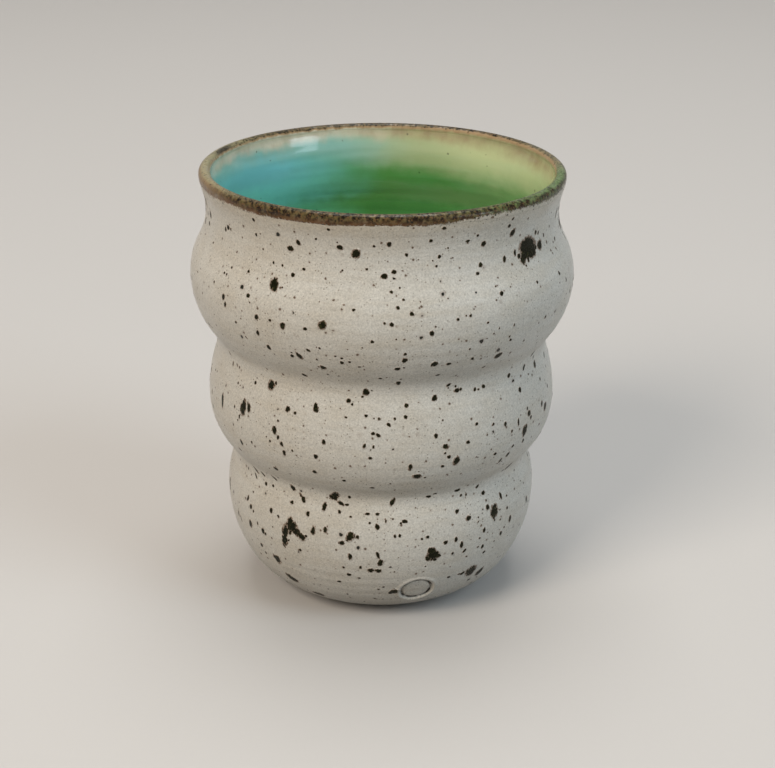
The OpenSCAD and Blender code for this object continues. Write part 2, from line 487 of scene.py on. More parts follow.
def turned_mesh(name, turn, radius, height, poles=False):
    """A closed surface of turn as a mesh object. radius and height hold rings by turns. With
    poles its first and last rings shrink to a point on the axis, and else they join."""
    rings, turns = radius.shape
    points = point_rows(turn, radius, height)
    if not poles:
        faces = quads_between(rings, turns, True).tolist()
        return mesh_piece(name, points.reshape(-1, 3), faces)
    low, high = points[0].mean(0), points[-1].mean(0)
    body = points[1:-1].reshape(-1, 3)
    faces = quads_between(rings - 2, turns, False).tolist()
    last_ring = (rings - 3) * turns
    low_corner, high_corner = len(body), len(body) + 1
    for j in range(turns):
        beside = (j + 1) % turns
        faces.append([low_corner, beside, j])
        faces.append([high_corner, last_ring + j, last_ring + beside])
    return mesh_piece(name, np.concatenate([body, [low, high]]), faces)


def new_object(name, data):
    made = bpy.data.objects.new(name, data)
    bpy.context.scene.collection.objects.link(made)
    return made


def mesh_piece(name, points, faces):
    mesh = bpy.data.meshes.new(name)
    mesh.from_pydata(points.tolist(), [], faces)
    mesh.validate()
    mesh.shade_smooth()
    return new_object(name, mesh)


def mark_points(piece, name, values):
    """Stores one number a point, for the piece's material to read."""
    stored = piece.data.attributes.new(name, "FLOAT", "POINT")
    stored.data.foreach_set("value", np.asarray(values, np.float32).ravel())


def seat(piece, slot, material, *nodes):
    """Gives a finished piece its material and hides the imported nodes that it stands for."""
    piece.data.materials.append(material)
    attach(piece, "root")
    if nodes:
        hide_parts(*nodes)


def coat_shell(wall, turn, shown, back_count, level, back_level):
    """Lengths along the skin, radii and heights of a coat as a closed shell: its shown face,
    then its back face in return. shown holds the lengths, rings by turns, and level is how far
    they stand above the skin."""
    hidden = shown[np.linspace(len(shown) - 1, 0, back_count).round().astype(int)]
    front = shown, *wall.surface(turn, shown, level)
    back = hidden, *wall.surface(turn, hidden, back_level)
    return [np.concatenate(pair) for pair in zip(front, back)]


# Materials


class Value:
    """An output of a node. It adds, subtracts and multiplies with numbers and other outputs."""

    def __init__(self, bench, socket):
        self.bench = bench
        self.socket = socket

    def __add__(self, other):
        return self.bench.math("ADD", self, other)

    def __sub__(self, other):
        return self.bench.math("SUBTRACT", self, other)

    def __rsub__(self, other):
        return self.bench.math("SUBTRACT", other, self)

    def __mul__(self, other):
        return self.bench.math("MULTIPLY", self, other)

    def ease(self, low, high, at_low=0.0, at_high=1.0):
        """A smooth step: at_low where this is low, and at_high where it is high."""
        values = {0: self, 1: low, 2: high, 3: at_low, 4: at_high}
        return self.bench.value("ShaderNodeMapRange", values, interpolation_type="SMOOTHSTEP")

    def ease_mm(self, low, high, at_low=0.0, at_high=1.0):
        """The same for a length. low and high are in millimetres."""
        return self.ease(low * MM, high * MM, at_low, at_high)


class Bench:
    """A node tree with short calls for the nodes that clay and glazes use. A call takes
    numbers, colours and values. end is the node that the tree ends in."""

    def __init__(self, tree):
        self.tree = tree

    def feed(self, socket, value):
        if isinstance(value, Value):
            self.tree.links.new(value.socket, socket)
        elif socket.type == "RGBA":
            socket.default_value = (*value[:3], 1.0)
        else:
            socket.default_value = value

    def node(self, kind, values=None, **settings):
        made = self.tree.nodes.new(kind)
        for setting, value in settings.items():
            setattr(made, setting, value)
        for socket, value in (values or {}).items():
            self.feed(made.inputs[socket], value)
        return made

    def value(self, kind, values=None, output=0, **settings):
        """One output of a new node."""
        return Value(self, self.node(kind, values, **settings).outputs[output])

    def outputs(self, kind, values=None, **settings):
        """All outputs of a new node, by name."""
        made = self.node(kind, values, **settings)
        return {socket.name: Value(self, socket) for socket in made.outputs}

    def math(self, operation, a, b=0.0):
        return self.value("ShaderNodeMath", {0: a, 1: b}, operation=operation)

    def vector(self, operation, a, b, output=0):
        return self.value("ShaderNodeVectorMath", {0: a, 1: b}, output, operation=operation)

    def scaled(self, vector, factor):
        values = {0: vector, "Scale": factor}
        return self.value("ShaderNodeVectorMath", values, operation="SCALE")

    def mix(self, share, a, b, blend="MIX"):
        """A colour from a, where share is 0, to b."""
        values = {0: share, 6: a, 7: b}
        return self.value("ShaderNodeMix", values, 2, data_type="RGBA", blend_type=blend)

    def blend(self, share, a, b):
        """A number from a, where share is 0, to b."""
        return self.value("ShaderNodeMix", {0: share, 2: a, 3: b}, data_type="FLOAT")

    def noise(self, place, size, detail=2.0, roughness=0.5, output="Fac"):
        """Cloudy noise whose clouds are about size wide."""
        scale = 1.0 / size if isinstance(size, float) else self.math("DIVIDE", 1.0, size)
        values = {"Vector": place, "Scale": scale, "Detail": detail, "Roughness": roughness}
        return self.value("ShaderNodeTexNoise", values, output)

    def place(self):
        return self.value("ShaderNodeTexCoord", output="Object")

    def parts(self, vector):
        return self.outputs("ShaderNodeSeparateXYZ", {0: vector})

    def attribute(self, name):
        return self.value("ShaderNodeAttribute", output="Fac", attribute_name=name)

    def give(self, values):
        """Feeds the node that the tree ends in."""
        for socket, value in values.items():
            self.feed(self.end.inputs[socket], value)

    def group(self, build, **values):
        """Places the node group that build makes at its first use, and returns its outputs."""
        name = build.__name__
        if name not in bpy.data.node_groups:
            build(name)
        return self.outputs("ShaderNodeGroup", values, node_tree=bpy.data.node_groups[name])


class GroupBench(Bench):
    """A new node group. given holds its inputs as values, by name."""

    def __init__(self, name, inputs, outputs):
        super().__init__(bpy.data.node_groups.new(name, "ShaderNodeTree"))
        for socket, default in inputs.items():
            number = isinstance(default, float)
            made = self.add_socket(socket, "INPUT", "Float" if number else "Color")
            made.default_value = default if number else (*default, 1.0)
        for socket, kind in outputs.items():
            self.add_socket(socket, "OUTPUT", kind)
        self.given = self.outputs("NodeGroupInput")
        self.end = self.node("NodeGroupOutput")

    def add_socket(self, name, side, kind):
        kind = f"NodeSocket{kind}"
        return self.tree.interface.new_socket(name, in_out=side, socket_type=kind)


class MaterialBench(Bench):
    """A new material with its Principled shader. settings are the shader's even values."""

    def __init__(self, name, settings):
        self.material = bpy.data.materials.new(name)
        self.material.use_nodes = True
        super().__init__(self.material.node_tree)
        self.end = self.tree.nodes["Principled BSDF"]
        self.give(settings)

    def finish(self, base, roughness, height, relief):
        """Feeds the shader and returns the material. relief is how deep in metres the full
        range of the height is."""
        bump = {"Height": height, "Distance": relief, "Strength": 1.0}
        normal = self.value("ShaderNodeBump", bump)
        self.give({"Base Color": base, "Roughness": roughness, "Normal": normal})
        return self.material


def iron_specks(name):
    """Round iron specks. Cell is their mean distance and Reach their largest radius as a share
    of it. Mask is 1 in a speck, and Fringe is a wider, softer mask."""
    inputs = {"Cell": 2.0 * MM, "Reach": 0.25, "Ragged": 0.15}
    bench = GroupBench(name, inputs, {"Mask": "Float", "Fringe": "Float"})
    cell, place = bench.given["Cell"], bench.place()
    shake = bench.noise(place, cell * 0.22, output="Color")
    centred = bench.vector("SUBTRACT", shake, (0.5, 0.5, 0.5))
    shaken = bench.vector("ADD", place, bench.scaled(centred, bench.given["Ragged"] * cell))
    scale = bench.math("DIVIDE", 1.0, cell)
    values = {"Vector": shaken, "Scale": scale, "Randomness": 1.0}
    cells = bench.outputs("ShaderNodeTexVoronoi", values)
    chance = bench.value("ShaderNodeSeparateColor", {0: cells["Color"]})
    radius = bench.math("POWER", chance, 1.6) * bench.given["Reach"]
    share = bench.math("DIVIDE", cells["Distance"], bench.math("MAXIMUM", radius, 0.001))
    bench.give({"Mask": share.ease(0.75, 1.0, 1.0, 0.0), "Fringe": share.ease(0.8, 1.9, 1.0, 0.0)})


def glaze_clouds(name):
    """A colour that drifts between two glazes in clouds, with streaks along the rings."""
    inputs = {
        "Colour": (0.6, 0.6, 0.6),
        "Other": (0.5, 0.5, 0.5),
        "Size": 9.0 * MM,
        "Share": 0.5,
        "Streaks": 0.3,
    }
    bench = GroupBench(name, inputs, {"Colour": "Color"})
    given, place = bench.given, bench.place()
    cloud = bench.noise(place, given["Size"], 4.0, 0.6)
    along_rings = bench.vector("MULTIPLY", place, (0.12, 0.12, 1.0))
    streak = bench.noise(along_rings, given["Size"] * 0.18, 3.0)
    both = bench.blend(given["Streaks"], cloud, streak)
    share = both.ease(0.38, 0.66) * given["Share"]
    bench.give({"Colour": bench.mix(share, given["Colour"], given["Other"])})


def ring_lines(name):
    """Height of the fine lines that fingers and a sponge leave round a thrown pot."""
    bench = GroupBench(name, {"Pitch": 0.7 * MM, "Breaks": 14.0 * MM}, {"Height": "Float"})
    place = bench.place()
    along_rings = bench.vector("MULTIPLY", place, (0.03, 0.03, 1.0))
    line = bench.noise(along_rings, bench.given["Pitch"], 2.0)
    part = bench.noise(place, bench.given["Breaks"], 1.0).ease(0.42, 0.6)
    bench.give({"Height": line * part})


def satin_skin(name):
    """Height of the fine skin of a satin glaze: pinholes and a soft orange peel."""
    bench = GroupBench(name, {"Peel": 0.9 * MM, "Grain": 0.22 * MM}, {"Height": "Float"})
    place = bench.place()
    peel = bench.noise(place, bench.given["Peel"], 2.0)
    grain = bench.noise(place, bench.given["Grain"], 1.0)
    bench.give({"Height": bench.blend(0.35, peel, grain)})


def side_and_drift(bench, place):
    """How far right of the axis a point lies, less even by a wide drift, and that drift."""
    drift = bench.noise(place, 16.0 * MM, 3.0, 0.6) - 0.5
    return bench.parts(place)["X"] + drift * (14.0 * MM), drift


def stained_cream(name):
    """The pale glaze just under the lip, stained brown in runs on the right.
    The band and the liner share it, so that the line between them can't be seen."""
    bench = GroupBench(name, {}, {"Colour": "Color"})
    tone, place = colours(), bench.place()
    side, _ = side_and_drift(bench, place)
    runs = bench.vector("MULTIPLY", place, (1.0, 1.0, 0.45))
    stain = bench.noise(runs, 4.0 * MM, 4.0, 0.6)
    left = bench.mix(stain.ease(0.4, 0.7, 0.0, 0.35), tone.cream, tone.blush)
    right = bench.mix(stain.ease(0.32, 0.68, 0.1, 0.7), tone.lip_olive, tone.blush)
    bench.give({"Colour": bench.mix(side.ease_mm(-14, 10), left, right)})


def speckled_white(name):
    """The white coat: its colour with pepper, specks and stains, its roughness and its height.
    The coat and the iron blots on it share it, so that a blot's rim can't be seen."""
    tone = colours()
    inputs = {
        "White": tone.white,
        "Thin": tone.white_thin,
        "Pepper": tone.pepper,
        "Iron": tone.iron,
        "Rust": tone.rust,
    }
    outputs = {"Colour": "Color", "Roughness": "Float", "Height": "Float"}
    bench = GroupBench(name, inputs, outputs)
    given, place = bench.given, bench.place()
    colouring = {"Colour": given["White"], "Other": given["Thin"]}
    clouds = bench.group(glaze_clouds, **colouring, Share=0.42, Streaks=0.45)["Colour"]
    stain_height = bench.parts(place)["Z"] + bench.noise(place, 2.0 * MM, 3.0, 0.7) * (5.0 * MM)
    stain = stain_height.ease(form().height - 4.0 * MM, form().height, 0.0, 0.75)
    stained_white = bench.mix(stain, clouds, given["Thin"])
    fine = bench.noise(place, 0.4 * MM, 3.0, 0.7).ease(0.25, 0.75, 0.76, 1.12)
    base = bench.mix(1.0, stained_white, fine, "MULTIPLY")

    grain = bench.group(iron_specks, Cell=0.62 * MM, Reach=0.34, Ragged=0.5)
    small = bench.group(iron_specks, Cell=1.7 * MM, Reach=0.2, Ragged=0.25)
    middling = bench.group(iron_specks, Cell=4.4 * MM, Reach=0.14, Ragged=0.16)
    crowd = bench.noise(place, 11.0 * MM, 2.0).ease(0.35, 0.65, 0.35, 1.0)
    peppered = bench.mix(grain["Mask"] * (crowd * 0.8), base, given["Pepper"])
    rusty = bench.math("MAXIMUM", small["Fringe"], middling["Fringe"])
    stained = bench.mix(rusty * 0.28, peppered, given["Rust"])
    brown = bench.mix(0.55, given["Rust"], given["Iron"])
    browned = bench.mix(small["Mask"] * 0.85, stained, brown)
    speckled = bench.mix(middling["Mask"], browned, given["Iron"])
    iron = bench.math("MAXIMUM", small["Mask"], middling["Mask"])
    dull = bench.noise(place, 6.0 * MM, 3.0).ease(0.3, 0.7, 0.3, 0.42)
    level = bench.group(satin_skin)["Height"] + bench.group(ring_lines)["Height"] * 1.5
    bench.give({"Colour": speckled, "Roughness": dull - iron * 0.1, "Height": level + iron * 0.25})


WHITE_RELIEF = 0.045 * MM


def white_glaze():
    """The satin white coat, with brown in the groove of the blank impression: pooled glaze and
    painted shade.
    """
    bench = MaterialBench("speckled white glaze", {"IOR": 1.42})
    white = bench.group(speckled_white)
    uneven = bench.noise(bench.place(), 1.8 * MM, 2.0).ease(0.35, 0.6, 0.3, 1.0)
    # Painted shade: the groove darkens towards the band's brown, over the glaze pooled in it
    pooled_and_shaded = bench.attribute("groove").ease(0.15, 0.7) * uneven
    base = bench.mix(pooled_and_shaded, white["Colour"], colours().band)
    return bench.finish(base, white["Roughness"], white["Height"], WHITE_RELIEF)


def iron_glaze():
    """Iron that has burnt through the white coat. It breaks up at the rim of each blot."""
    bench = MaterialBench("iron through white glaze", {"IOR": 1.2})
    tone, place, ragged = colours(), bench.place(), bench.attribute("ragged")
    white = bench.group(speckled_white)
    runs = bench.vector("MULTIPLY", place, (1.0, 1.0, 0.5))
    tear = (bench.noise(runs, 0.5 * MM, 4.0, 0.75) - 0.5) * (ragged * 2.2)
    share = bench.attribute("iron") + tear
    iron = share.ease(0.48, 0.6)
    bloom = bench.noise(place, 0.5 * MM, 3.0).ease(0.5, 0.7)
    dark = bench.mix(bloom * ragged.ease(0.3, 0.8), tone.iron, tone.iron_sheen)
    stained = bench.mix(share.ease(0.2, 0.5, 0.0, 0.75), white["Colour"], tone.rust)
    base = bench.mix(iron, stained, dark)
    roughness = bench.blend(iron, white["Roughness"], 0.36)
    return bench.finish(base, roughness, white["Height"] + iron * bloom, WHITE_RELIEF)


def brown_glaze():
    """The band over the lip. Its attribute past_top is the way over the lip, below 0 outside and
    above 0 inside, and from_edge is the way up from the band's outer edge."""
    bench = MaterialBench("brown band glaze", {"IOR": 1.32, "Coat Roughness": 0.04})
    tone, place = colours(), bench.place()
    cloud = bench.noise(place, 2.0 * MM, 4.0, 0.65)
    fine = bench.noise(place, 0.5 * MM, 3.0, 0.7)
    wander = (cloud - 0.5) * (1.6 * MM)
    past_top = bench.attribute("past_top") + wander
    at = bench.parts(place)
    across = at["X"] + wander * 6.0
    behind = at["Y"].ease_mm(-7, 7)
    in_front = 1.0 - behind
    to_right = across.ease_mm(-10, 24) * in_front
    behind_right = behind * across.ease_mm(0, 24)

    # The mottled brown, greener on the right, tan at the left end, where the tan is partly painted
    # light on the lip
    greener = across.ease_mm(10, 34, 0.0, 0.9) * in_front
    other = bench.mix(greener, tone.band_olive, tone.band_green)
    clouding = {"Colour": tone.band, "Other": other, "Size": 1.0 * MM}
    mottled = bench.group(glaze_clouds, **clouding, Share=0.9, Streaks=0.0)["Colour"]
    rusted = bench.mix(fine.ease(0.52, 0.6) * 0.75, mottled, tone.band_red)
    left_end = across.ease_mm(-42, -32, 0.65, 0.0) * in_front
    tanned = bench.mix(left_end, rusted, tone.lip_edge)

    # The crown, lighter towards both ends where the glaze breaks thin over the lip and painted
    # light catches its top, with one dark smear at the left behind
    from_middle = bench.math("ABSOLUTE", across)
    closed = from_middle.ease_mm(36, 43, 0.1, 0.8)
    broken_and_lit = from_middle.ease_mm(26, 41, 0.12, 0.9) * fine.ease(0.4, 0.54, closed, 1.0)
    crown = past_top.ease_mm(-1.6, -0.4) * broken_and_lit * bench.blend(behind_right, 1.0, 0.45)
    crown_tone = bench.mix(to_right, tone.band_tan, tone.band_green)
    bright = bench.mix(crown, tanned, crown_tone)
    smear_place = (-38.0 * MM, 13.0 * MM, form().height)
    smear = bench.vector("DISTANCE", place, smear_place, "Value").ease_mm(2, 6, 0.85, 0.0)
    lit_crown_and_smear = bench.mix(smear * past_top.ease_mm(-0.4, 0.4), bright, tone.band)

    # The outer edge, which runs out thin and ends higher at both sides
    fringe = (fine - 0.5) * (2.2 * MM)
    higher_left = across.ease_mm(-38, -24, 0.9 * MM, 0.0)
    higher_right = across.ease_mm(8, 28, 0.0, 1.2 * MM)
    from_edge = bench.attribute("from_edge") + fringe - (higher_left + higher_right)
    patchy = bench.noise(place, 6.0 * MM, 2.0).ease(0.35, 0.6, 0.35, 0.9)
    thin = from_edge.ease_mm(0.4, 1.8, 1.0, 0.0) * patchy * bench.blend(to_right, 1.0, 0.3)
    thinned = bench.mix(thin, lit_crown_and_smear, tone.band_red)
    white = bench.group(speckled_white)["Colour"]
    outside = bench.mix(from_edge.ease_mm(0.05, 0.6), white, thinned)

    # The inner edge, and the liner's tone past it
    edge_place = past_top + behind_right * (0.4 * MM)
    edge = bench.mix(edge_place.ease_mm(1.1, 1.7), outside, tone.lip_edge)
    inside = past_top.ease_mm(1.6, 2.1)
    base = bench.mix(inside, edge, bench.group(stained_cream)["Colour"])
    specks = bench.group(iron_specks, Cell=0.9 * MM, Reach=0.42, Ragged=0.5)
    dark = specks["Mask"] * past_top.ease_mm(0.8, 1.8, 0.9, 0.1)
    speckled = bench.mix(dark, base, tone.iron)
    roughness = bench.blend(inside, cloud.ease(0.3, 0.7, 0.24, 0.42), 0.14)
    bench.give({"Coat Weight": bench.blend(inside, cloud.ease(0.5, 0.62, 0.0, 0.7), 0.6)})
    height = fine + bench.group(satin_skin)["Height"]
    return bench.finish(speckled, roughness, height, 0.05 * MM)


def green_glaze():
    """The glossy liner: pale where it lies thin over the neck and deep where it pools, with painted
    light and shade laid over it.
    """
    settings = {"IOR": 1.52, "Coat Weight": 0.6, "Coat Roughness": 0.03}
    bench = MaterialBench("green liner glaze", settings)
    tone, place = colours(), bench.place()
    # The change from left to right is partly the glaze and partly painted light: cooler shade on
    # the left, a lit yellower green on the right
    side, drift = side_and_drift(bench, place)
    fine = bench.noise(place, 3.0 * MM, 3.0, 0.6) - 0.5
    drop = form().height - bench.parts(place)["Z"] + drift * (5.0 * MM) + fine * (1.6 * MM)
    far_right = side.ease_mm(8, 30)

    # Over the neck, sage on the left to a paler lime on the right, where it is partly painted light
    left_to_behind = bench.mix(side.ease_mm(-14, 10), tone.sage, tone.lime)
    pale = bench.mix(far_right, left_to_behind, tone.pale_lime)

    # In the upper lobe: teal on the left, paler low down as painted light, green on the right, and
    # a painted lit band in the green
    lower = drop.ease_mm(17, 23, 0.0, 14.0 * MM)
    right = (side + lower).ease_mm(-30, 3)
    teal = bench.mix(drop.ease_mm(10, 15), tone.turquoise, tone.pooled_teal)
    glow = drop.ease_mm(13.5, 16.5) * drop.ease_mm(18.5, 21.5, 1.0, 0.0)
    glow_side = side.ease_mm(-10, 22, 0.04, 0.34)
    deep = bench.mix(glow * glow_side, bench.mix(right, teal, tone.green), tone.lime)
    pale_end = bench.blend(right, 3.5 * MM, 8.0 * MM)
    deep_start = bench.blend(far_right, bench.blend(right, 8.5 * MM, 13.5 * MM), 17.5 * MM)
    rich = bench.mix(drop.ease(pale_end, deep_start), pale, deep)

    # At the bottom, where the pooled glaze carries painted light on the left and painted shade on
    # the right, then just under the lip
    yellower = bench.mix(far_right * 0.25, tone.deep_green, tone.lime)
    bottom = bench.mix(side.ease_mm(-33, -3), tone.sea_green, yellower)
    pooled_and_shaded = bench.mix(drop.ease_mm(18.5, 24), rich, bottom)
    past_cream = drop.ease(2.2 * MM, bench.blend(far_right, 5.0 * MM, 7.0 * MM))
    base = bench.mix(past_cream, bench.group(stained_cream)["Colour"], pooled_and_shaded)

    clouding = {"Colour": (1.0, 1.0, 1.0), "Other": (0.86, 0.9, 0.86), "Size": 8.0 * MM}
    clouds = bench.group(glaze_clouds, **clouding, Streaks=0.35)["Colour"]
    clouded = bench.mix(1.0, base, clouds, "MULTIPLY")
    specks = bench.group(iron_specks, Cell=3.4 * MM, Reach=0.12, Ragged=0.2)
    speckled = bench.mix(specks["Mask"] * 0.5, clouded, tone.iron)
    height = bench.group(satin_skin, Peel=2.6 * MM)["Height"]
    return bench.finish(speckled, drift.ease(-0.2, 0.2, 0.07, 0.14), height, 0.02 * MM)


def bare_clay():
    """The unglazed foot: toasted clay with grog and the lines of the trimming tool."""
    bench = MaterialBench("bare stoneware", {"IOR": 1.45})
    tone = colours()
    clouding = {"Colour": tone.clay, "Other": tone.clay_dark, "Size": 6.0 * MM}
    clouds = bench.group(glaze_clouds, **clouding)["Colour"]
    specks = bench.group(iron_specks, Cell=1.4 * MM, Reach=0.28, Ragged=0.3)
    base = bench.mix(specks["Mask"] * 0.8, clouds, tone.iron)
    grog = bench.noise(bench.place(), 0.5 * MM, 4.0, 0.7)
    lines = bench.group(ring_lines, Pitch=0.5 * MM, Breaks=30.0 * MM)["Height"]
    return bench.finish(base, grog.ease(0.3, 0.7, 0.72, 0.9), grog + lines, 0.1 * MM)


# The pieces


def over(along, turn):
    """Lengths along the skin as rings by turns."""
    return along[:, None] + 0 * turn


def edge_wave(seed, turns, turn, count=9):
    """A smooth chance wave of an edge round the cup, from -0.5 to 0.5."""
    return Waves(seed, turns, 40 * MM, 90 * MM, count)(turn, 0) - 0.5


def clay_body():
    """The fired clay: under the coats it keeps a coat's depth below the skin, and below the
    bare line it carries the trimmed foot ring."""
    sizes, wall, own = form(), Wall(), marks()
    skin = wall.skin
    turn = even_turns(240)
    foot_r = sizes.foot_d / 2
    glazed = over(np.linspace(skin.under_at(foot_r) + sizes.coat, skin.end, 300), turn)
    radius, height = wall.surface(turn, glazed, -sizes.coat)
    radius[-1] = 0

    foot = foot_section(sizes, foot_r)
    waver = Waves(own.seed + 3, 6, 2 * MM, 9 * MM)
    shake = own.trim_depth * waver(turn, np.arange(len(foot))[:, None] * MM)
    foot_radius = foot[:, :1] - shake * (foot[:, :1] > 0)
    foot_height = foot[:, 1:] + shake * (foot[:, 1:] > sizes.foot_bevel)
    rings = [np.concatenate(pair) for pair in ((foot_radius, radius), (foot_height, height))]
    piece = turned_mesh("stoneware_body", turn, *rings, poles=True)
    seat(piece, "bare_clay", bare_clay(), "clay_body")


def foot_section(sizes, foot_r):
    """Half section of the foot from the axis out and up into the belly: a shallow hollow with
    a turned centre, the standing face with its bevels and the outer face."""
    inner_r = foot_r - sizes.foot_width
    hollow_z, bevel = sizes.foot_hollow, sizes.foot_bevel
    round_bevel = 0.12 * MM
    spiral_pitch, spiral_depth = 1.7, 0.06 * MM
    spiral = [
        (r * MM, hollow_z + spiral_depth * math.cos(r * FULL_TURN / spiral_pitch))
        for r in np.arange(0, inner_r / MM - 1.2, 0.4)
    ]
    ring = [
        (inner_r - 0.8 * MM, hollow_z - 0.02 * MM),
        (inner_r - 0.25 * MM, hollow_z - 0.25 * MM),
        (inner_r, hollow_z - 0.7 * MM),
        (inner_r, bevel),
        (inner_r + round_bevel, round_bevel),
        (inner_r + bevel, 0),
    ]
    face = [(inner_r + share * sizes.foot_width, 0) for share in (0.25, 0.5, 0.75)]
    outer = [
        (foot_r - bevel, 0),
        (foot_r - round_bevel, round_bevel),
        (foot_r, bevel),
        (foot_r, 0.75 * MM),
        (foot_r + 0.06 * MM, 1.1 * MM),
    ]
    return np.array(spiral + ring + face + outer)


def white_coat():
    """The satin white coat, from the bare clay at the foot up to under the brown band."""
    sizes, wall, own = form(), Wall(), marks()
    skin = wall.skin
    dense_reach = 0.65
    turn = even_turns(300, own.dimple_turn, own.dimple_d / wall.dimple_radius * dense_reach, 48)
    bare = skin.under_at(sizes.foot_d / 2 + sizes.bare_clay)
    under_band = 1.9 * MM
    top = skin.outside_at(sizes.height - under_band)
    dense = wall.dimple_along + np.linspace(-dense_reach, dense_reach, 40) * own.dimple_d
    along = np.sort(np.concatenate([np.linspace(bare, top, 184), dense]))

    # The lower edge waves, and the glaze rolls over it in a bead
    wave_height, bead_height, bead_reach = 1.1 * MM, 0.12 * MM, 0.9 * MM
    near_foot = 1 - smooth(along - bare, 0, 6 * MM)
    shown = along[:, None] + near_foot[:, None] * (wave_height * edge_wave(own.seed + 4, 9, turn))
    from_edge = shown - shown[0]
    rolled_off = (1 - smooth(from_edge, 0, bead_reach)) * 0.8 * sizes.coat
    bead = bead_height * hump(from_edge, bead_reach, 0.7 * MM)
    level = -own.white_sink - rolled_off + bead
    back_level = -sizes.coat - own.white_sink
    all_along, *rings = coat_shell(wall, turn, shown, 60, level, back_level)
    piece = turned_mesh("white_coat", turn, *rings)
    mark_points(piece, "groove", wall.groove(wall.dimple_reach(turn, all_along)))
    seat(piece, "speckled_white_glaze", white_glaze(), "outer_glaze")


def green_liner():
    """The glossy liner, from under the band inside the lip down the wall and over the floor."""
    sizes, wall, own = form(), Wall(), marks()
    skin = wall.skin
    turn = even_turns(360)
    under_band = 1.2 * MM
    top = skin.inside_at(sizes.height - under_band)
    dense_end = top + 30 * MM
    dense = np.arange(top, dense_end, 0.5 * MM)
    shown = over(np.concatenate([dense, np.linspace(dense_end, skin.end, 110)]), turn)
    hidden = over(np.linspace(skin.end, top, 60), turn)
    front = wall.surface(turn, shown, -own.white_sink)
    back = wall.surface(turn, hidden, -sizes.coat - own.white_sink)
    radius, height = (np.concatenate(pair) for pair in zip(back, front))
    radius[0] = radius[-1] = 0
    piece = turned_mesh("green_liner", turn, radius, height, poles=True)
    seat(piece, "green_glaze", green_glaze(), "liner_glaze")


def brown_band():
    """The brown band over the lip. It is lowest at the sides, its edges wave, and it runs out
    thin on the coats beside it."""
    sizes, wall, own = form(), Wall(), marks()
    skin = wall.skin
    turn = even_turns(720)
    wave_height, fringe_height, inner_wave_height = 0.9 * MM, 0.7 * MM, 0.8 * MM
    drop = own.band_front + (own.band_side - own.band_front) * np.sin(turn) ** 2
    wave = wave_height * edge_wave(own.seed + 5, 14, turn, 14)
    fringe = fringe_height * edge_wave(own.seed + 7, 90, turn, 24)
    low = skin.outside_at(sizes.height - drop + (wave + fringe))
    inner_wave = inner_wave_height * edge_wave(own.seed + 6, 11, turn, 12)
    far = skin.inside_at(sizes.height - own.band_inside + inner_wave)
    shown = low + (far - low) * np.linspace(0, 1, 64)[:, None]

    # Both edges dive under the coats beside them
    outer_dive = 2.2 * own.white_sink * (1 - smooth(shown - low, 0, 0.55 * MM))
    inner_dive = 1.3 * own.white_sink * (1 - smooth(far - shown, 0, 1.1 * MM))
    level = -outer_dive - inner_dive
    all_along, *rings = coat_shell(wall, turn, shown, 16, level, -0.8 * sizes.coat)
    piece = turned_mesh("brown_band", turn, *rings)
    mark_points(piece, "past_top", all_along - skin.top)
    mark_points(piece, "from_edge", all_along - low)
    seat(piece, "brown_glaze", brown_glaze(), "rim_glaze")


# The iron blots in front, listed as (turn, height, width, length, lean, ragged). Turn
# and lean are in degrees, and height, width and length in millimetres. A blot without a length
# is round, and one that leans by a positive angle has its top end to the right.

Blot = namedtuple("Blot", "turn height width length lean ragged", defaults=(None, 0, 0.6))

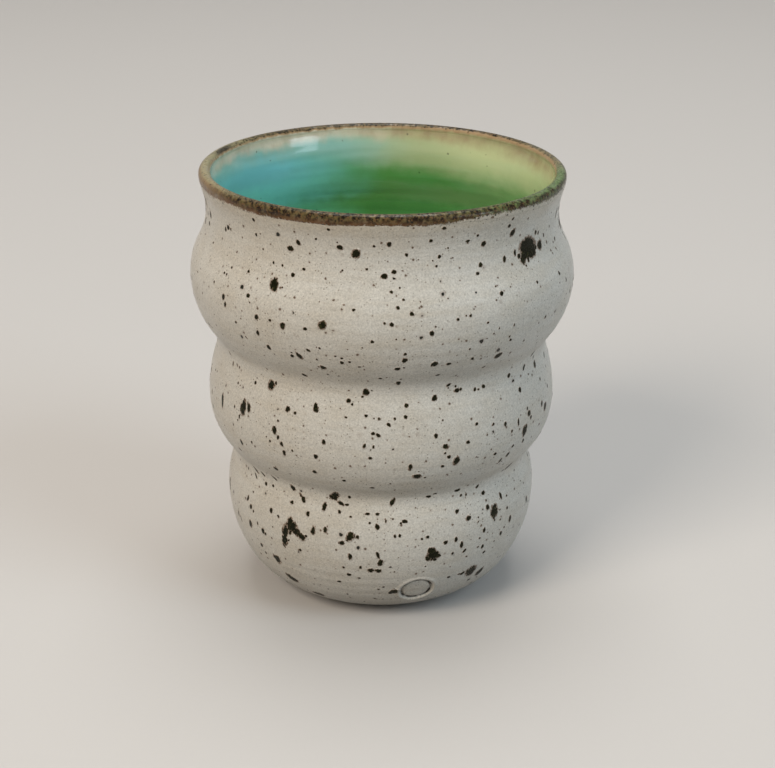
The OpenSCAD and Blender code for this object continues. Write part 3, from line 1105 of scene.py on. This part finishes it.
SEEN_BLOTS = [
    # On the neck and the top of the upper lobe
    (-70.5, 96.5, 1.1, 1.8), (-65.4, 91, 0.6), (-57.5, 95.6, 0.8, 1.0), (-55.8, 96.3, 1.1),
    (-54.3, 96.1, 0.6, 0.8), (-41.4, 100.6, 0.8), (-41.5, 97.1, 0.7), (-28.5, 95.7, 1.5, 1.2),
    (-25.7, 97.3, 1.0, 1.3, -35), (-19.8, 98.7, 0.6), (-15.6, 101.3, 0.7, 0.6),
    (-12.5, 97.3, 1.4, 1.1), (-7.7, 96.1, 1.8, 2.1), (-2.4, 97.9, 0.6), (2, 98.4, 1.1),
    (7.2, 95.9, 0.7), (14.3, 98.9, 0.9, 0.7), (17.1, 95.1, 0.8), (17.9, 101.7, 1.0, 0.7),
    (16.2, 93.1, 0.6), (19.8, 96.9, 0.5), (26.2, 97.9, 0.9, 0.7), (29.3, 98.9, 0.6),
    (31.8, 96.7, 1.0, 1.4, 40), (30.6, 92.2, 0.9, 1.1), (39.7, 92.3, 0.9, 1.4), (41, 99.7, 0.9),
    (41.8, 101.3, 0.6, 0.9, 30), (43.1, 97.8, 1.3, 2.0, 42), (44.3, 93, 0.7, 1.5, 8),
    (50.7, 93.5, 5.7, 4.0, 0, 0.5), (50.0, 92.1, 4.9, 2.5, 0, 0.8), (47.6, 91.2, 1.9, 2.3, 0, 0.8),
    (57.4, 92.6, 1.9, 2.4, 8, 0.6), (55.3, 95.8, 0.8, 1.1), (57, 95.4, 0.6, 0.9),
    (60.7, 94.2, 0.6, 0.9), (73, 97, 0.9, 2.3, 14), (48.3, 89.6, 0.6), (64, 90.1, 0.6, 0.7),
    (67.5, 91.3, 0.5, 0.7),
    # On the upper lobe
    (-50.5, 88.4, 0.6), (-53, 86.8, 0.6), (-51.7, 86.7, 0.6), (-56.8, 84, 0.6),
    (-51, 81.8, 1.0, 1.4), (-50, 80.2, 0.8, 1.2), (-43, 88.8, 0.7), (-40.7, 84.1, 0.9, 1.0),
    (-39.7, 82.7, 0.5), (-45.5, 76.9, 0.7), (-43.2, 78.3, 0.5), (-37, 79.9, 1.1, 1.2),
    (-37, 76, 0.9, 1.2), (-34.3, 91.9, 0.6), (-31, 91.7, 0.6), (-32.3, 79.9, 0.7),
    (-32.4, 87.6, 2.0, 3.1, -12, 0.7), (-28.2, 79.2, 1.6, 1.2, -60, 0.7), (-27, 90.2, 0.9),
    (-23.7, 91.7, 0.7), (-21.3, 79.4, 0.9, 0.8), (-16.3, 80.8, 1.8, 2.0, 0, 0.7),
    (-10.5, 85.5, 0.5), (-7.7, 84.6, 0.8, 0.6), (-11.7, 92.3, 0.5), (-4.5, 92.8, 0.6),
    (-2.5, 77.6, 0.8, 0.7), (0.7, 91.4, 1.4, 1.1), (3.5, 92.3, 1.0, 0.9), (2.7, 88.3, 0.7),
    (5.1, 89.1, 0.5), (6, 86.8, 0.6), (4.4, 85.2, 0.8), (8.3, 83.8, 0.9), (2.7, 81.6, 0.9, 1.0),
    (0.8, 81.9, 0.6), (14.8, 80.7, 0.5), (13.8, 79.2, 1.0, 1.2), (21.2, 81.8, 0.7), (25, 82.3, 0.7),
    (30.5, 80, 0.6), (34.5, 78, 0.5), (40, 77.9, 0.5, 0.8), (33.8, 84.6, 0.5), (35.9, 85.7, 1.0),
    (29.2, 90.5, 0.7, 0.9, 50), (50.9, 85.7, 0.7), (64, 85, 0.8, 1.1, -30), (68.5, 82.5, 0.6, 1.1),
    (54.3, 76.8, 0.7, 0.9, 30),
    # Round the upper waist
    (-34, 72.9, 1.0, 1.3, -45), (-42.2, 73.8, 0.5, 0.9, -40), (-26.3, 71.9, 0.9),
    (-26.3, 72.8, 0.5), (-24, 72.3, 1.1, 2.0, -40, 0.7), (-20.8, 74.2, 0.7, 1.0, -50),
    (-17.3, 75.1, 0.6), (-18.6, 72, 0.6), (-17.2, 69.9, 1.1, 1.6, -65, 0.7), (-13, 73.4, 0.5),
    (-11.2, 71.8, 0.9), (-11.2, 73, 0.7, 0.5), (-9, 72.1, 0.6), (-6.3, 70.9, 0.8, 0.4),
    (-24.6, 66.5, 0.8, 1.3, -55), (-13, 67.7, 0.6, 0.4), (-16.3, 67.9, 0.5),
    (-38.5, 61.7, 2.1, 2.1, 0, 0.7), (-36.7, 62.4, 0.8), (-45.8, 60.9, 0.7, 0.9), (-54.5, 59, 0.6),
    (-60, 62.4, 0.6, 1.3), (-57, 62.7, 0.6, 0.9, -40), (-55.5, 62.5, 0.5, 0.8, -40),
    (-61.5, 64.6, 0.5, 1.2, -40), (-30.8, 57.5, 1.3), (-28, 57, 0.7), (-21, 59, 1.4, 1.8, 0, 0.7),
    (-10.4, 61.3, 1.1, 0.9), (-9.2, 60.6, 0.6), (-4.8, 63.5, 1.5, 1.5, 0, 0.7),
    (-6, 62.4, 0.7, 0.5), (-0.3, 67.5, 0.9, 0.5), (-4, 66.6, 0.5), (-11, 57.7, 0.7, 0.5),
    (-4.7, 58.3, 0.7), (-0.6, 57.7, 0.6, 0.8), (2.4, 56.4, 0.7, 1.0, -30), (4.3, 57.7, 0.6),
    (6.6, 72.8, 1.2), (6.6, 74.4, 0.7), (6.5, 70.7, 0.5), (4.6, 70.4, 1.3, 0.9),
    (15.4, 71.2, 1.3, 1.9, 60, 0.7), (19.7, 70.8, 1.3, 0.8), (17.3, 67.7, 1.0, 0.6),
    (5.3, 66, 1.0, 1.2), (22, 64.2, 0.7, 1.2, 55), (24.7, 63.6, 0.6), (25.2, 62.6, 1.3, 1.0),
    (26.6, 62.7, 0.7), (17.4, 61.6, 1.3), (25.5, 74.2, 0.6), (27.2, 71.3, 0.8),
    (38.9, 75.2, 0.5, 0.8), (39.6, 74.2, 0.7), (46, 72.6, 0.6), (36.8, 70.5, 1.5, 2.0, 40, 0.6),
    (33, 67.8, 0.6, 1.0, 50), (32, 62, 0.8), (33.4, 61.8, 0.6), (35.5, 62.2, 0.9), (8.1, 60.5, 1.0),
    (7.7, 58, 0.8), (47.3, 62.7, 1.0), (56, 62.9, 0.9, 1.4, 20), (60.5, 65.3, 0.8, 1.7, 35),
    (62.5, 64, 0.5, 1.0), (64.2, 61.8, 1.2, 1.6), (58.5, 60.7, 0.5), (60.8, 60, 0.6),
    (51.8, 58.5, 1.0, 1.2),
    # On the middle lobe
    (-75, 51.5, 0.6, 1.3), (-63, 52.7, 1.0, 3.5, -4, 0.7), (-54.5, 53.4, 0.5, 1.0),
    (-49.7, 54.2, 2.0, 3.6, 8, 0.9), (-47, 54.9, 1.2, 2.3, -12, 0.8), (-51.5, 51.6, 0.6, 1.0),
    (-52.3, 50.5, 0.5), (-55, 48.8, 0.5, 0.8), (-51.5, 44.9, 0.8, 1.7, -15),
    (-55, 42, 0.7, 1.3, -30), (-45.5, 46.5, 0.6, 0.8), (-35.2, 51.8, 1.2, 1.9, -15, 0.8),
    (-33.8, 50.3, 0.7, 1.2, 20), (-32.4, 48.9, 0.9, 1.1, -30), (-31.6, 46.8, 0.9, 1.3),
    (-28.5, 47.9, 0.6), (-34, 54.3, 0.6), (-37, 48.8, 0.6), (-17.7, 51.5, 0.9, 1.2),
    (-20.4, 47.6, 0.9, 1.2), (-21.4, 43.2, 1.1, 0.9), (-37.3, 40.9, 1.0, 1.3, -50),
    (-2.4, 54.4, 0.8), (-0.8, 54, 0.8, 1.1, -50), (-5, 51.4, 0.7, 1.3, 15), (-2.2, 51.3, 0.6, 0.8),
    (-3.2, 48.5, 0.9, 0.7), (17.2, 53.2, 1.0), (19.6, 56.6, 0.5), (31.3, 54.3, 0.8),
    (37.9, 53.2, 0.7), (43, 52.2, 0.8, 1.2), (49.3, 51.2, 0.7, 1.8), (46, 49.7, 0.7, 1.0, 30),
    (28, 50.4, 1.0, 0.8), (35.2, 51, 0.5), (20.4, 50.3, 1.4, 1.2, 0, 0.9), (20.2, 48.7, 0.6),
    (21.6, 47.6, 1.0, 0.8), (24.2, 46.2, 1.5, 2.3, 20, 0.9), (9.2, 45.9, 1.0, 1.7, 12, 0.7),
    (11.6, 43.2, 2.0, 1.5), (14.3, 42.6, 0.6), (19.7, 45.3, 0.8), (39.3, 45.3, 1.0, 0.8),
    (47.5, 45.5, 0.8), (43, 42.5, 0.7, 1.3, 30), (53, 45.5, 0.8, 1.1), (55.5, 52, 1.4, 1.3),
    (54.5, 53.4, 0.6, 1.0), (56.6, 50.7, 0.8, 1.0), (65, 51.9, 1.1, 1.4), (72, 54.5, 0.6, 1.0),
    (66, 57.8, 0.6, 1.0), (53, 48.2, 1.7, 2.9, 15, 0.7), (42, 41.8, 0.4), (43.5, 41.3, 0.4),
    (44, 42, 0.4),
    # Round the lower waist
    (-54, 35.9, 0.7, 2.4, -45), (-54.5, 34.2, 0.6, 1.6, -40), (-49.4, 35.9, 0.7, 1.6, -45),
    (-42.6, 36.4, 0.7, 2.0, -45), (-48, 33.7, 0.8, 1.0, -30), (-44, 34, 0.7), (-54.3, 30.3, 0.6),
    (-34, 35.4, 1.1, 1.7, -50), (-29.3, 33.3, 1.0, 1.6, -20, 0.7), (-30.5, 34, 0.6, 0.8),
    (-34, 31.9, 0.9), (-11.8, 41.7, 0.9, 0.7), (-2.8, 39.8, 1.2, 0.6),
    (-16.8, 35.7, 2.3, 2.2, 0, 1.0), (-14.5, 34, 0.9, 1.6, -60, 0.8), (-11.2, 35.8, 0.8, 0.9),
    (-12.2, 33.8, 0.9, 0.6), (-20.7, 32.7, 1.1, 1.9, 15, 0.8), (-14.8, 32, 0.8, 0.9),
    (-10.6, 31.2, 0.6), (-4.5, 32.1, 1.1, 0.7), (-1, 32.1, 0.9, 0.7), (1.8, 31, 0.5),
    (4.5, 31, 0.5), (4.4, 35, 1.0, 2.0, 28, 0.7), (17.7, 35.6, 1.2, 0.7), (20, 36.2, 0.9, 0.5),
    (29.2, 35.9, 1.3, 0.9), (31, 34.3, 0.7), (33.2, 34.1, 0.6), (38.4, 35.3, 0.8, 1.1, 50),
    (41.4, 33.2, 1.0), (42, 31.3, 0.5, 0.8), (51, 37, 0.7), (53.8, 37.6, 1.3, 2.6, 25, 0.6),
    (50, 30.8, 0.9, 1.8, -10, 0.6), (53.5, 30, 0.6), (46, 43.5, 0.8, 1.6, 30),
    # On the lowest lobe
    (-33.8, 27.3, 1.8, 2.2, 0, 0.8), (-33, 26.2, 3.0, 2.7, 0, 0.9), (-36, 24.3, 1.6, 3.6, 8, 0.9),
    (-36.4, 21.9, 1.7, 2.4, 0, 0.9), (-31, 25.2, 1.6, 3.4, -50, 0.9),
    (-28.7, 24.2, 1.7, 1.9, 0, 0.9), (-37.1, 20.3, 0.6, 1.3, -30), (-26.8, 30.3, 0.9, 1.2),
    (-57, 28.1, 0.8, 1.3), (-54.8, 26.4, 1.0, 1.3), (-53, 25.6, 0.6, 0.8), (-43, 28.2, 0.9, 1.3),
    (-39.4, 27.6, 0.8, 0.5), (-55.5, 21.6, 1.3, 2.1, 0, 0.8), (-50.5, 23, 0.6, 1.0),
    (-47.5, 21.7, 1.2, 1.3, 0, 0.8), (-46.2, 21.3, 0.6, 0.9), (-66, 21.3, 0.7, 1.8),
    (-64, 20.6, 0.6, 1.6, -10), (-50.5, 16.9, 0.9, 1.2), (-49, 15, 0.7, 0.9),
    (-42.5, 14.9, 2.2, 2.5, -30, 0.8), (-78, 26, 1.0, 3.2, 0, 0.6), (-24.2, 26.6, 1.2, 2.0, 0, 0.9),
    (-19.6, 27.3, 1.1, 1.3, 0, 0.7), (-1, 29.2, 1.0, 1.4), (-3.7, 30, 0.6),
    (-10.5, 26.4, 2.0, 2.2, 0, 0.9), (-13.6, 24.6, 1.4, 1.1, 0, 0.8), (-7.9, 26.5, 0.8, 1.0),
    (-10.6, 21.1, 1.0, 1.8, 0, 0.8), (-0.7, 21.9, 0.7, 1.9, -20), (0.2, 19.8, 1.4, 1.6, 0, 0.8),
    (-3.3, 17.5, 1.4, 1.2, 0, 0.7), (-0.5, 17.4, 1.5, 1.2, 0, 0.7), (-11.3, 15.7, 1.1, 0.8),
    (-7, 18.2, 0.7, 0.9), (-7.7, 14.8, 0.8, 0.5), (-13.2, 17.8, 0.6), (-15.6, 13, 1.1, 0.7),
    (-13.3, 8.5, 0.5), (-29.9, 20.4, 0.8), (-38.5, 9.6, 2.0, 3.5, -50, 0.7),
    (-28, 5.8, 2.6, 2.0, 0, 0.7), (28.6, 30.9, 1.0), (33.1, 28.6, 1.3), (37.5, 28, 0.5),
    (37.3, 26.9, 0.5), (42.3, 29.6, 1.2, 1.3), (45.5, 27.9, 2.6, 3.1, -8, 0.9), (45.5, 25.6, 0.6),
    (48.7, 27.6, 0.5), (53, 27, 0.7, 0.9), (48.8, 25, 0.6), (55, 23.6, 1.2, 1.6, 10),
    (40.2, 24.2, 0.9, 1.2), (51.5, 22.2, 0.6), (49.8, 21, 0.9, 1.2), (8.7, 30.3, 1.3, 0.8),
    (7.3, 29.9, 0.6), (2, 30.6, 0.5, 1.0), (5.2, 26.9, 0.7, 0.9), (6.9, 27, 0.7, 0.9),
    (14.8, 25.7, 0.6), (16.8, 26, 0.9, 0.7), (23.7, 23.8, 1.1, 1.0), (27.8, 24, 0.8, 1.4),
    (30.3, 22.2, 0.9, 1.8), (31.8, 20.2, 0.7, 1.2, 45), (26.8, 20.3, 0.7, 0.8), (33.2, 18.3, 0.6),
    (38.3, 22.4, 0.6), (38, 20, 0.6), (40.3, 19.6, 0.9, 1.1, 30), (41.8, 17.6, 0.7, 0.9, 45),
    (18.6, 21.9, 1.8, 2.6, 0, 0.7), (19.2, 20.9, 2.8, 2.2, 0, 0.7), (17.4, 20.1, 1.7, 1.2, 60, 0.8),
    (21, 20.5, 1.5, 1.3, 0, 0.8), (37.8, 12.7, 2.7, 3.5, 40, 0.8), (33.6, 12.9, 1.0, 1.3, 50),
    (31.9, 13, 0.8, 0.6), (43.8, 10.8, 1.7, 2.9, 38, 0.7), (5.8, 10.3, 2.2, 1.6, 0, 0.8),
    (4.3, 9.8, 1.1, 1.1), (27.3, 12.9, 0.8), (1.5, 12, 0.6), (-0.4, 11.2, 0.6),
    (-1.4, 7.2, 0.6, 0.4), (1.2, 7.2, 0.6, 0.4), (4.8, 7.2, 0.6, 0.4), (3.7, 18.5, 0.9, 0.4),
    (5.3, 17, 0.5),
    # Fingers that ran down from the three largest blots, and crumbs beside them and at the neck
    (49.9, 90.8, 0.8, 1.6), (53.5, 91.9, 1.5, 2.2), (54.9, 92.5, 0.9), (46, 92, 1.2, 1.0, 30),
    (51.8, 91.6, 2.2, 2.0), (-72.3, 94, 1.2, 0.9), (-80.5, 96.2, 1.2, 2.4), (-79.5, 93.2, 1.3, 1.3),
    (65.5, 95.3, 0.5, 0.7), (62.5, 92.2, 0.5, 0.7), (68.3, 89.7, 0.5, 0.8),
    (-33.7, 24.5, 0.7, 1.5, 10), (-32, 24.9, 0.8, 0.9), (-28.4, 24.1, 1.5, 1.4),
    (-27.1, 24.7, 0.8, 0.7), (-34.6, 22.2, 0.7, 0.6), (20, 19.6, 0.9), (18.7, 19.6, 0.6, 0.7),
]


def chance_blots(seed):
    """Blots by chance: on the sides and back as many and as large as those in front, and fine
    ones all round."""
    draw = np.random.default_rng(seed)
    made = []
    for _ in range(230):
        width = 0.7 + 1.1 * draw.random() ** 2.2
        length_ = width * (1 + draw.random())
        lean = draw.uniform(-40, 40)
        turn, height = draw.uniform(68, 288), draw.uniform(5, 99)
        made.append(Blot(turn, height, width, length_, lean, 0.5))
    for _ in range(7):
        width = draw.uniform(2.2, 3.6)
        turn, height = draw.uniform(80, 280), draw.uniform(15, 95)
        made.append(Blot(turn, height, width, 1.2 * width, 0, 0.9))
    for count, spread, first, last in ((60, 0.2, -70, 70), (140, 0.4, 70, 290)):
        for _ in range(count):
            width = 0.3 + spread * draw.random()
            turn, height = draw.uniform(first, last), draw.uniform(6, 100)
            made.append(Blot(turn, height, width, width, 0, 0.2))
    return made


def blot_patch(wall, blot, draw):
    """Points, faces, iron shares and raggedness of one blot: a thin lens that follows the white
    coat. Its iron share falls from 1 in the middle to 0 at its rim, under the coat's face."""
    white_level = -marks().white_sink
    past_edge, most_ripple, big_size = 1.45, 0.34, 2.2 * MM
    half_width = blot.width * MM / 2
    half_length = (blot.length or blot.width) * MM / 2
    big = half_width + half_length > big_size
    spokes = 36 if big else 20
    steps = np.array([0, 0.25, 0.5, 0.7, 0.85, 1.0] if big else [0, 0.4, 0.75, 1.0])
    around = np.arange(spokes) * FULL_TURN / spokes
    ripple = sum(
        draw.uniform(0.3, 1) / count * np.cos(count * around + draw.uniform(0, FULL_TURN))
        for count in (2, 3, 5, 7)
    )
    rim = past_edge * (1 + most_ripple * blot.ragged * ripple)
    wide, tall = half_width * np.cos(around) * rim, half_length * np.sin(around) * rim
    lean = math.radians(-blot.lean)
    across = wide * math.cos(lean) - tall * math.sin(lean)
    up = wide * math.sin(lean) + tall * math.cos(lean)
    middle_turn = math.radians(blot.turn)
    middle_along = wall.skin.outside_at(blot.height * MM)
    turn = middle_turn + steps[:, None] * across / wall.skin.place(middle_along)[0]
    along = middle_along + steps[:, None] * up

    rim_dive, bottom_dive = 0.025 * MM, 0.2 * MM
    lift = marks().blot_lift * (1 - smooth(steps, 0.6, 1)) - rim_dive * smooth(steps, 0.8, 1)
    shown = point_rows(turn, *wall.surface(turn, along, white_level + lift[:, None]))
    bottom = wall.surface(middle_turn, middle_along, white_level - bottom_dive)
    one_middle = shown.reshape(-1, 3)[spokes - 1 :]
    points = np.concatenate([one_middle, point_rows(middle_turn, *bottom).reshape(1, 3)])
    faces = [[0, 1 + j, 1 + (j + 1) % spokes] for j in range(spokes)]
    for ring in range(len(steps) - 2):
        start = 1 + ring * spokes
        for j in range(spokes):
            beside = (j + 1) % spokes
            faces.append([start + j, start + spokes + j, start + spokes + beside, start + beside])
    last = 1 + (len(steps) - 2) * spokes
    faces += [[last + (j + 1) % spokes, last + j, len(points) - 1] for j in range(spokes)]
    strength = min(1, 0.45 + 0.65 * blot.width)
    from_middle = np.concatenate([[0], np.repeat(steps[1:], spokes), [0]])
    iron = strength * (1 - from_middle**1.9)
    return points, faces, iron, np.full(len(points), blot.ragged)


def iron_blots():
    """The iron blots, as thin lenses on the white coat."""
    wall, seed = Wall(), marks().seed
    draw = np.random.default_rng(seed + 10)
    seen = [Blot(*row) for row in SEEN_BLOTS]
    points, faces, iron, ragged, count = [], [], [], [], 0
    for blot in seen + chance_blots(seed + 11):
        patch = blot_patch(wall, blot, draw)
        points.append(patch[0])
        faces += [[corner + count for corner in face] for face in patch[1]]
        iron.append(patch[2])
        ragged.append(patch[3])
        count += len(patch[0])
    piece = mesh_piece("iron_blots", np.concatenate(points), faces)
    mark_points(piece, "iron", np.concatenate(iron))
    mark_points(piece, "ragged", np.concatenate(ragged))
    seat(piece, "speckled_white_glaze", iron_glaze())


# The studio


def soft_lamp(name, place, target, size, power, tint=(1, 1, 1), mirrored=True):
    """A square lamp. One that isn't mirrored leaves no bright square in a glossy glaze."""
    lamp = bpy.data.lights.new(name, "AREA")
    lamp.shape = "SQUARE"
    lamp.size = size
    lamp.energy = power
    lamp.color = tint
    made = new_object(name, lamp)
    made.location = place
    made.rotation_euler = (Vector(target) - Vector(place)).to_track_quat("-Z", "Y").to_euler()
    made.visible_glossy = mirrored


def floor_material(tone):
    """Pale paper. What it throws back on the cup is darker than what the camera sees of it."""
    bench = MaterialBench("studio paper", {"Roughness": 0.9})
    grain = bench.noise(bench.place(), 1.2 * MM, 3.0)
    paler = [min(1, share * 1.02) for share in tone]
    shade = [0.38 * share for share in tone]
    ray = bench.outputs("ShaderNodeLightPath")
    direct = bench.math("MAXIMUM", ray["Is Camera Ray"], ray["Is Glossy Ray"])
    bench.give({"Base Color": bench.mix(direct, shade, bench.mix(grain, tone, paler))})
    return bench.material


def studio_floor(studio):
    """A round sheet of paper that curves up into a wall all round."""
    flat_r, bend_r, wall_z = 1.4, 0.5, 1.6
    bend = arc((flat_r, bend_r), bend_r, -math.pi / 2, 0, 0.05)
    section = np.concatenate([[(0.3, 0), (0.8, 0)], bend, [(flat_r + bend_r, wall_z)]])
    turn = even_turns(96)
    points = point_rows(turn, over(section[:, 0], turn), over(section[:, 1], turn))
    faces = quads_between(len(section), len(turn), False)[:, ::-1].tolist()
    faces.append(list(range(len(turn))))
    floor = mesh_piece("studio_floor", points.reshape(-1, 3), faces)
    floor.data.materials.append(floor_material(studio.floor_colour))


def studio_camera(studio):
    camera = bpy.data.cameras.new("camera")
    camera.sensor_width = 36
    camera.lens = studio.lens
    camera.clip_start = 0.02
    back = Vector((0, -math.cos(studio.elevation), math.sin(studio.elevation)))
    place = Vector((0, 0, studio.rim_z)) + back * studio.distance
    tilt = Matrix.Rotation(math.pi / 2 - studio.elevation - studio.drop, 4, "X")
    swing = Matrix.Rotation(-studio.swing, 4, "Z")
    roll = Matrix.Rotation(studio.roll, 4, "Z")
    made = new_object("camera", camera)
    made.matrix_world = Matrix.Translation(place) @ swing @ tilt @ roll
    bpy.context.scene.camera = made


def studio_light(studio):
    middle = (0, 0, 0.06)
    warm, cool = (1.0, 0.91, 0.81), (0.72, 0.87, 1.0)
    soft_lamp("key lamp", (-1.0, -1.2, 1.28), middle, 0.8, studio.key_power, warm, mirrored=False)
    soft_lamp("fill lamp", (1.4, -0.9, 1.25), middle, 1.1, studio.fill_power, cool, mirrored=False)
    soft_lamp("window lamp", (1.5, -0.9, 0.78), middle, 0.7, studio.window_power, cool)
    soft_lamp("top lamp", (0.0, 0.45, 1.9), (0, 0.2, 0), 1.2, studio.top_power)
    world = bpy.data.worlds.new("even light")
    world.use_nodes = True
    background = world.node_tree.nodes["Background"]
    background.inputs["Color"].default_value = (1, 1, 1, 1)
    background.inputs["Strength"].default_value = studio.sky
    bpy.context.scene.world = world


# Operators, panel and registration


class TUMBLER_OT_studio(bpy.types.Operator):
    """Make the camera, the lamps and the floor"""

    bl_idname = "tumbler.studio"
    bl_label = "Studio"
    bl_options = {"REGISTER", "UNDO"}

    def execute(self, context):
        studio = context.scene.tumbler_studio
        studio_floor(studio)
        studio_light(studio)
        studio_camera(studio)
        context.scene.view_settings.view_transform = "Standard"
        return {"FINISHED"}


class TUMBLER_OT_clay_body(bpy.types.Operator):
    """Make the fired clay with its trimmed foot"""

    bl_idname = "tumbler.clay_body"
    bl_label = "Clay body"
    bl_options = {"REGISTER", "UNDO"}

    def execute(self, context):
        clay_body()
        return {"FINISHED"}


class TUMBLER_OT_white_coat(bpy.types.Operator):
    """Make the speckled white coat"""

    bl_idname = "tumbler.white_coat"
    bl_label = "White coat"
    bl_options = {"REGISTER", "UNDO"}

    def execute(self, context):
        white_coat()
        return {"FINISHED"}


class TUMBLER_OT_green_liner(bpy.types.Operator):
    """Make the green liner"""

    bl_idname = "tumbler.green_liner"
    bl_label = "Green liner"
    bl_options = {"REGISTER", "UNDO"}

    def execute(self, context):
        green_liner()
        return {"FINISHED"}


class TUMBLER_OT_brown_band(bpy.types.Operator):
    """Make the brown band over the lip"""

    bl_idname = "tumbler.brown_band"
    bl_label = "Brown band"
    bl_options = {"REGISTER", "UNDO"}

    def execute(self, context):
        brown_band()
        return {"FINISHED"}


class TUMBLER_OT_iron_blots(bpy.types.Operator):
    """Make the iron blots on the white coat"""

    bl_idname = "tumbler.iron_blots"
    bl_label = "Iron blots"
    bl_options = {"REGISTER", "UNDO"}

    def execute(self, context):
        iron_blots()
        return {"FINISHED"}


class TUMBLER_PT_sidebar(bpy.types.Panel):
    """Settings and steps of the tumbler"""

    bl_label = "Tumbler"
    bl_idname = "TUMBLER_PT_sidebar"
    bl_space_type = "VIEW_3D"
    bl_region_type = "UI"
    bl_category = "Tumbler"

    def draw(self, context):
        for step in STEPS:
            self.layout.operator(step.bl_idname)
        for name in SETTINGS:
            settings = getattr(context.scene, name)
            box = self.layout.box()
            for value in type(settings).__annotations__:
                box.prop(settings, value)


SETTINGS = {
    "tumbler_form": TumblerForm,
    "tumbler_marks": HandMarks,
    "tumbler_colours": GlazeColours,
    "tumbler_studio": Studio,
}
STEPS = (
    TUMBLER_OT_studio,
    TUMBLER_OT_clay_body,
    TUMBLER_OT_white_coat,
    TUMBLER_OT_green_liner,
    TUMBLER_OT_brown_band,
    TUMBLER_OT_iron_blots,
)
CLASSES = (*SETTINGS.values(), *STEPS, TUMBLER_PT_sidebar)


def register():
    for made in CLASSES:
        bpy.utils.register_class(made)
    for name, made in SETTINGS.items():
        setattr(bpy.types.Scene, name, PointerProperty(type=made))


def unregister():
    for name in SETTINGS:
        delattr(bpy.types.Scene, name)
    for made in reversed(CLASSES):
        bpy.utils.unregister_class(made)


def main():
    register()
    bpy.ops.tumbler.studio()
    bpy.ops.tumbler.clay_body()
    bpy.ops.tumbler.white_coat()
    bpy.ops.tumbler.green_liner()
    bpy.ops.tumbler.brown_band()
    bpy.ops.tumbler.iron_blots()


if __name__ == "__main__":
    main()
